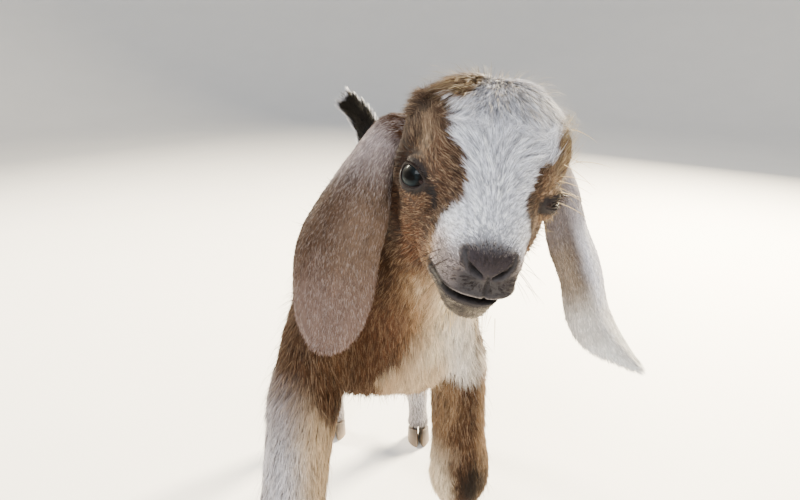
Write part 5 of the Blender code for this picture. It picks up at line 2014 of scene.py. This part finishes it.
@dataclass
class Feelers:
    """Long single hairs: lashes, brow hairs and the feelers of lips and chin."""

    eye: EyeBuild = EyeBuild()
    seed: int = 19
    sides: int = 4
    steps: int = 7
    lashes: int = 46
    brow_hairs: int = 13
    lip_hairs: int = 9
    chin_hairs: int = 26
    droop: float = 0.28
    pale: str = "D9BC8A"
    deep: str = "2A1D17"

    def build(self) -> list:
        """Makes all of them as one piece: tubes that taper and droop with the square of their length."""
        rng = np.random.default_rng(self.seed)
        lots = []
        for side in (-1, 1):
            lots += [self._lashes(side, rng), self._brow(side, rng), self._lip(side, rng)]
        lots.append(self._chin(rng))
        roots, aims, lengths, tones = zip(*lots)
        root, aim = HEAD.out(np.vstack(roots)), HEAD.aim_out(np.vstack(aims))
        length, tone = np.concatenate(lengths), np.concatenate(tones)
        s = np.linspace(0, 1, self.steps)[None, :, None]
        droop = np.array([0.0, 0.0, -1.0]) * self.droop
        paths = root[:, None] + (aim[:, None] * s + droop * s**2) * length[:, None, None]
        width = (0.00012 + 0.00006 * (length > 0.012))[:, None] * (1 - 0.85 * s[..., 0] ** 1.5)
        piece = tube_piece("feelers", paths, width, self.sides)
        colour = mixed(shade(self.pale), shade(self.deep), tone)
        paint(piece.data, "Coat", np.repeat(colour, self.steps * self.sides, axis=0))
        return [dressed(piece, HairFinish("feelers", 0.4).make(), "white_coat")]

    def _lashes(self, side: int, rng: Chance) -> tuple[Array, Array, Array, Array]:
        """Roots, ways, lengths and tones of one upper lid's lashes."""
        centre, _, up, _ = self.eye.axes(side)
        count = self.lashes
        turn = np.linspace(0.12 * np.pi, 0.88 * np.pi, count) + rng.normal(0, 0.02, count)
        root = self.eye.on_ball(side, *self.eye.edge(side, turn, 1.05), 0.0009)
        aim = unit(unit(root - centre) + up * 0.10 + rng.normal(0, 0.12, root.shape))
        return root, aim, 0.0045 + 0.0025 * rng.random(count), np.ones(count)

    def _brow(self, side: int, rng: Chance) -> tuple[Array, Array, Array, Array]:
        """The long pale hairs over the left eye; the right one has none."""
        count = self.brow_hairs if side > 0 else 0
        spread = rng.normal(0, 1, (count, 3)) * [0.0008, 0.009, 0.007]
        root = np.array([side * 0.0365, 0.004, 0.0160]) + spread
        aim = unit(np.array([side * 1.0, -0.25, 0.15]) + rng.normal(0, 0.30, (count, 3)))
        return root, aim, 0.013 + 0.009 * rng.random(count), np.zeros(count)

    def _lip(self, side: int, rng: Chance) -> tuple[Array, Array, Array, Array]:
        """The dark feelers of one side of the upper lip."""
        count = self.lip_hairs
        out, along = side * rng.uniform(0.013, 0.021, count), rng.uniform(-0.058, -0.042, count)
        root = np.stack([out, along, rng.uniform(-0.021, -0.010, count)], axis=1)
        out, along = side * 0.9 + rng.normal(0, 0.12, count), rng.normal(-0.15, 0.2, count)
        aim = unit(np.stack([out, along, rng.normal(-0.45, 0.15, count)], axis=1))
        return root, aim, 0.009 + 0.008 * rng.random(count), np.ones(count)

    def _chin(self, rng: Chance) -> tuple[Array, Array, Array, Array]:
        """The feelers that hang from the chin."""
        count = self.chin_hairs
        out, along = rng.uniform(-0.013, 0.013, count), rng.uniform(-0.060, -0.045, count)
        root = np.stack([out, along, np.full(count, -0.0385)], axis=1)
        out, along = rng.normal(0, 0.25, count), rng.normal(-0.35, 0.2, count)
        aim = unit(np.stack([out, along, np.full(count, -1.0)], axis=1))
        return root, aim, 0.006 + 0.007 * rng.random(count), np.full(count, 0.2)


@dataclass
class Hooves:
    """Hoof claws and dewclaws: the solids' own shapes, merged, in ringed horn; the hoof claws' edges are
    rounded.
    """

    rounding: float = 0.0006
    sharp: float = 0.8

    def build(self) -> list:
        """Copies every claw and rounds the edges of the hoof claws."""
        horn = HornFinish().make()
        made = []
        for name in sorted(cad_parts):
            if not name.startswith(("hoof_", "dewclaw_")):
                continue
            piece = placed(f"horn_{name}", merged_copy(name, f"horn_{name}"))
            if name.startswith("hoof_"):
                bevel = piece.modifiers.new("Edges", "BEVEL")
                bevel.width, bevel.segments = self.rounding, 2
                bevel.limit_method, bevel.angle_limit = "ANGLE", self.sharp
                baked(piece)
            piece.data.shade_smooth()
            made.append(dressed(piece, horn, "horn", name))
        return made


@dataclass(frozen=True)
class Studio:
    """Pale floor that curves up all round into a backdrop, soft lamps and the camera."""

    flat: float = 3.0
    reach: float = 6.0
    height: float = 2.6
    hub: float = 0.02
    sides: int = 96
    sky: tuple = (0.92, 0.95, 1.0, 1.0)
    sky_strength: float = 0.62
    # Each lamp's name, place, target, size, power and colour.
    lamps: tuple = (
        ("key", (-0.75, -1.5, 1.6), (0.0, -0.1, 0.33), 0.7, 48.0, (0.92, 0.96, 1.0)),
        ("fill", (1.4, -1.3, 0.9), (0.0, -0.1, 0.33), 1.6, 10.0, (1.0, 0.97, 0.93)),
        ("rim_right", (1.1, 1.2, 1.1), (0.0, -0.05, 0.35), 0.4, 330.0, (1.0, 0.86, 0.62)),
        ("rim_left", (-1.1, 1.2, 1.3), (0.0, -0.05, 0.35), 0.4, 95.0, (1.0, 0.88, 0.68)),
    )
    # The camera: its place, degrees down and to its right, focal length and sensor in millimetres.
    viewpoint: tuple = (-0.0516, -0.5056, 0.48)
    down: float = 19.0
    right: float = 4.5
    lens: float = 29.25
    sensor: float = 36.0

    def build(self) -> None:
        """Sets the stage."""
        self._floor()
        world = bpy.data.worlds.new("studio")
        world.use_nodes = True
        sky = world.node_tree.nodes["Background"]
        sky.inputs["Color"].default_value = self.sky
        sky.inputs["Strength"].default_value = self.sky_strength
        bpy.context.scene.world = world
        for lamp in self.lamps:
            self._lamp(*lamp)
        self._camera()

    def _floor(self) -> None:
        """A disc turned from a profile: level to the flat radius, then rising along a quarter wave."""
        level, rising = np.linspace(0.4, self.flat, 8), np.linspace(self.flat, self.reach, 26)[1:]
        r = np.concatenate([[self.hub], level, rising])
        z = self.height * (1 - np.cos(np.clip((r - self.flat) / (self.reach - self.flat), 0, 1) * np.pi / 2))
        turn = np.linspace(0, 2 * np.pi, self.sides, endpoint=False)
        r, z = r[:, None], z[:, None]
        grid = np.stack([r * np.cos(turn), r * np.sin(turn), z + 0 * turn], axis=-1)
        points = np.vstack([grid.reshape(-1, 3), [[0, 0, 0]]])
        middle = fan(len(points) - 1, 0, self.sides)
        floor = mesh_piece("floor", points, np.vstack([ring_triangles(len(r), self.sides), middle]))
        floor.data.materials.append(FloorFinish().make())

    @staticmethod
    def _lamp(name: str, place: tuple, target: tuple, size: float, power: float, colour: tuple) -> None:
        """A square soft lamp that looks at the target."""
        data = bpy.data.lights.new(name, "AREA")
        data.size, data.energy, data.color = size, power, colour
        aim = unit(np.array(target) - np.array(place))
        lamp = placed(name, data)
        lamp.location = place
        lamp.rotation_euler = Euler((np.arccos(-aim[2]), 0.0, np.arctan2(-aim[0], aim[1])))

    def _camera(self) -> None:
        """The camera at the photograph's viewing place."""
        data = bpy.data.cameras.new("camera")
        data.lens, data.sensor_width = self.lens, self.sensor
        data.clip_start = 0.01
        camera = placed("camera", data)
        camera.location = np.array(self.viewpoint) + ORIGIN
        camera.rotation_euler = Euler((np.radians(90 - self.down), 0.0, np.radians(-self.right)))
        bpy.context.scene.camera = camera


def main() -> None:
    """Builds the kid part by part and sets the stage."""
    logging.basicConfig(level=logging.INFO, format="%(name)s: %(message)s")
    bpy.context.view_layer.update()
    skin = Skin()
    skin.build()
    LOG.info("skin: %d faces", len(skin.piece.data.polygons))
    for builder in (Coat(skin), EAR_RIGHT, EAR_LEFT, Tail(), Eyes(), Feelers(), Hooves()):
        pieces = builder.build()
        LOG.info("%s: %d pieces", type(builder).__name__, len(pieces))
    Studio().build()


if __name__ == "__main__":
    main()
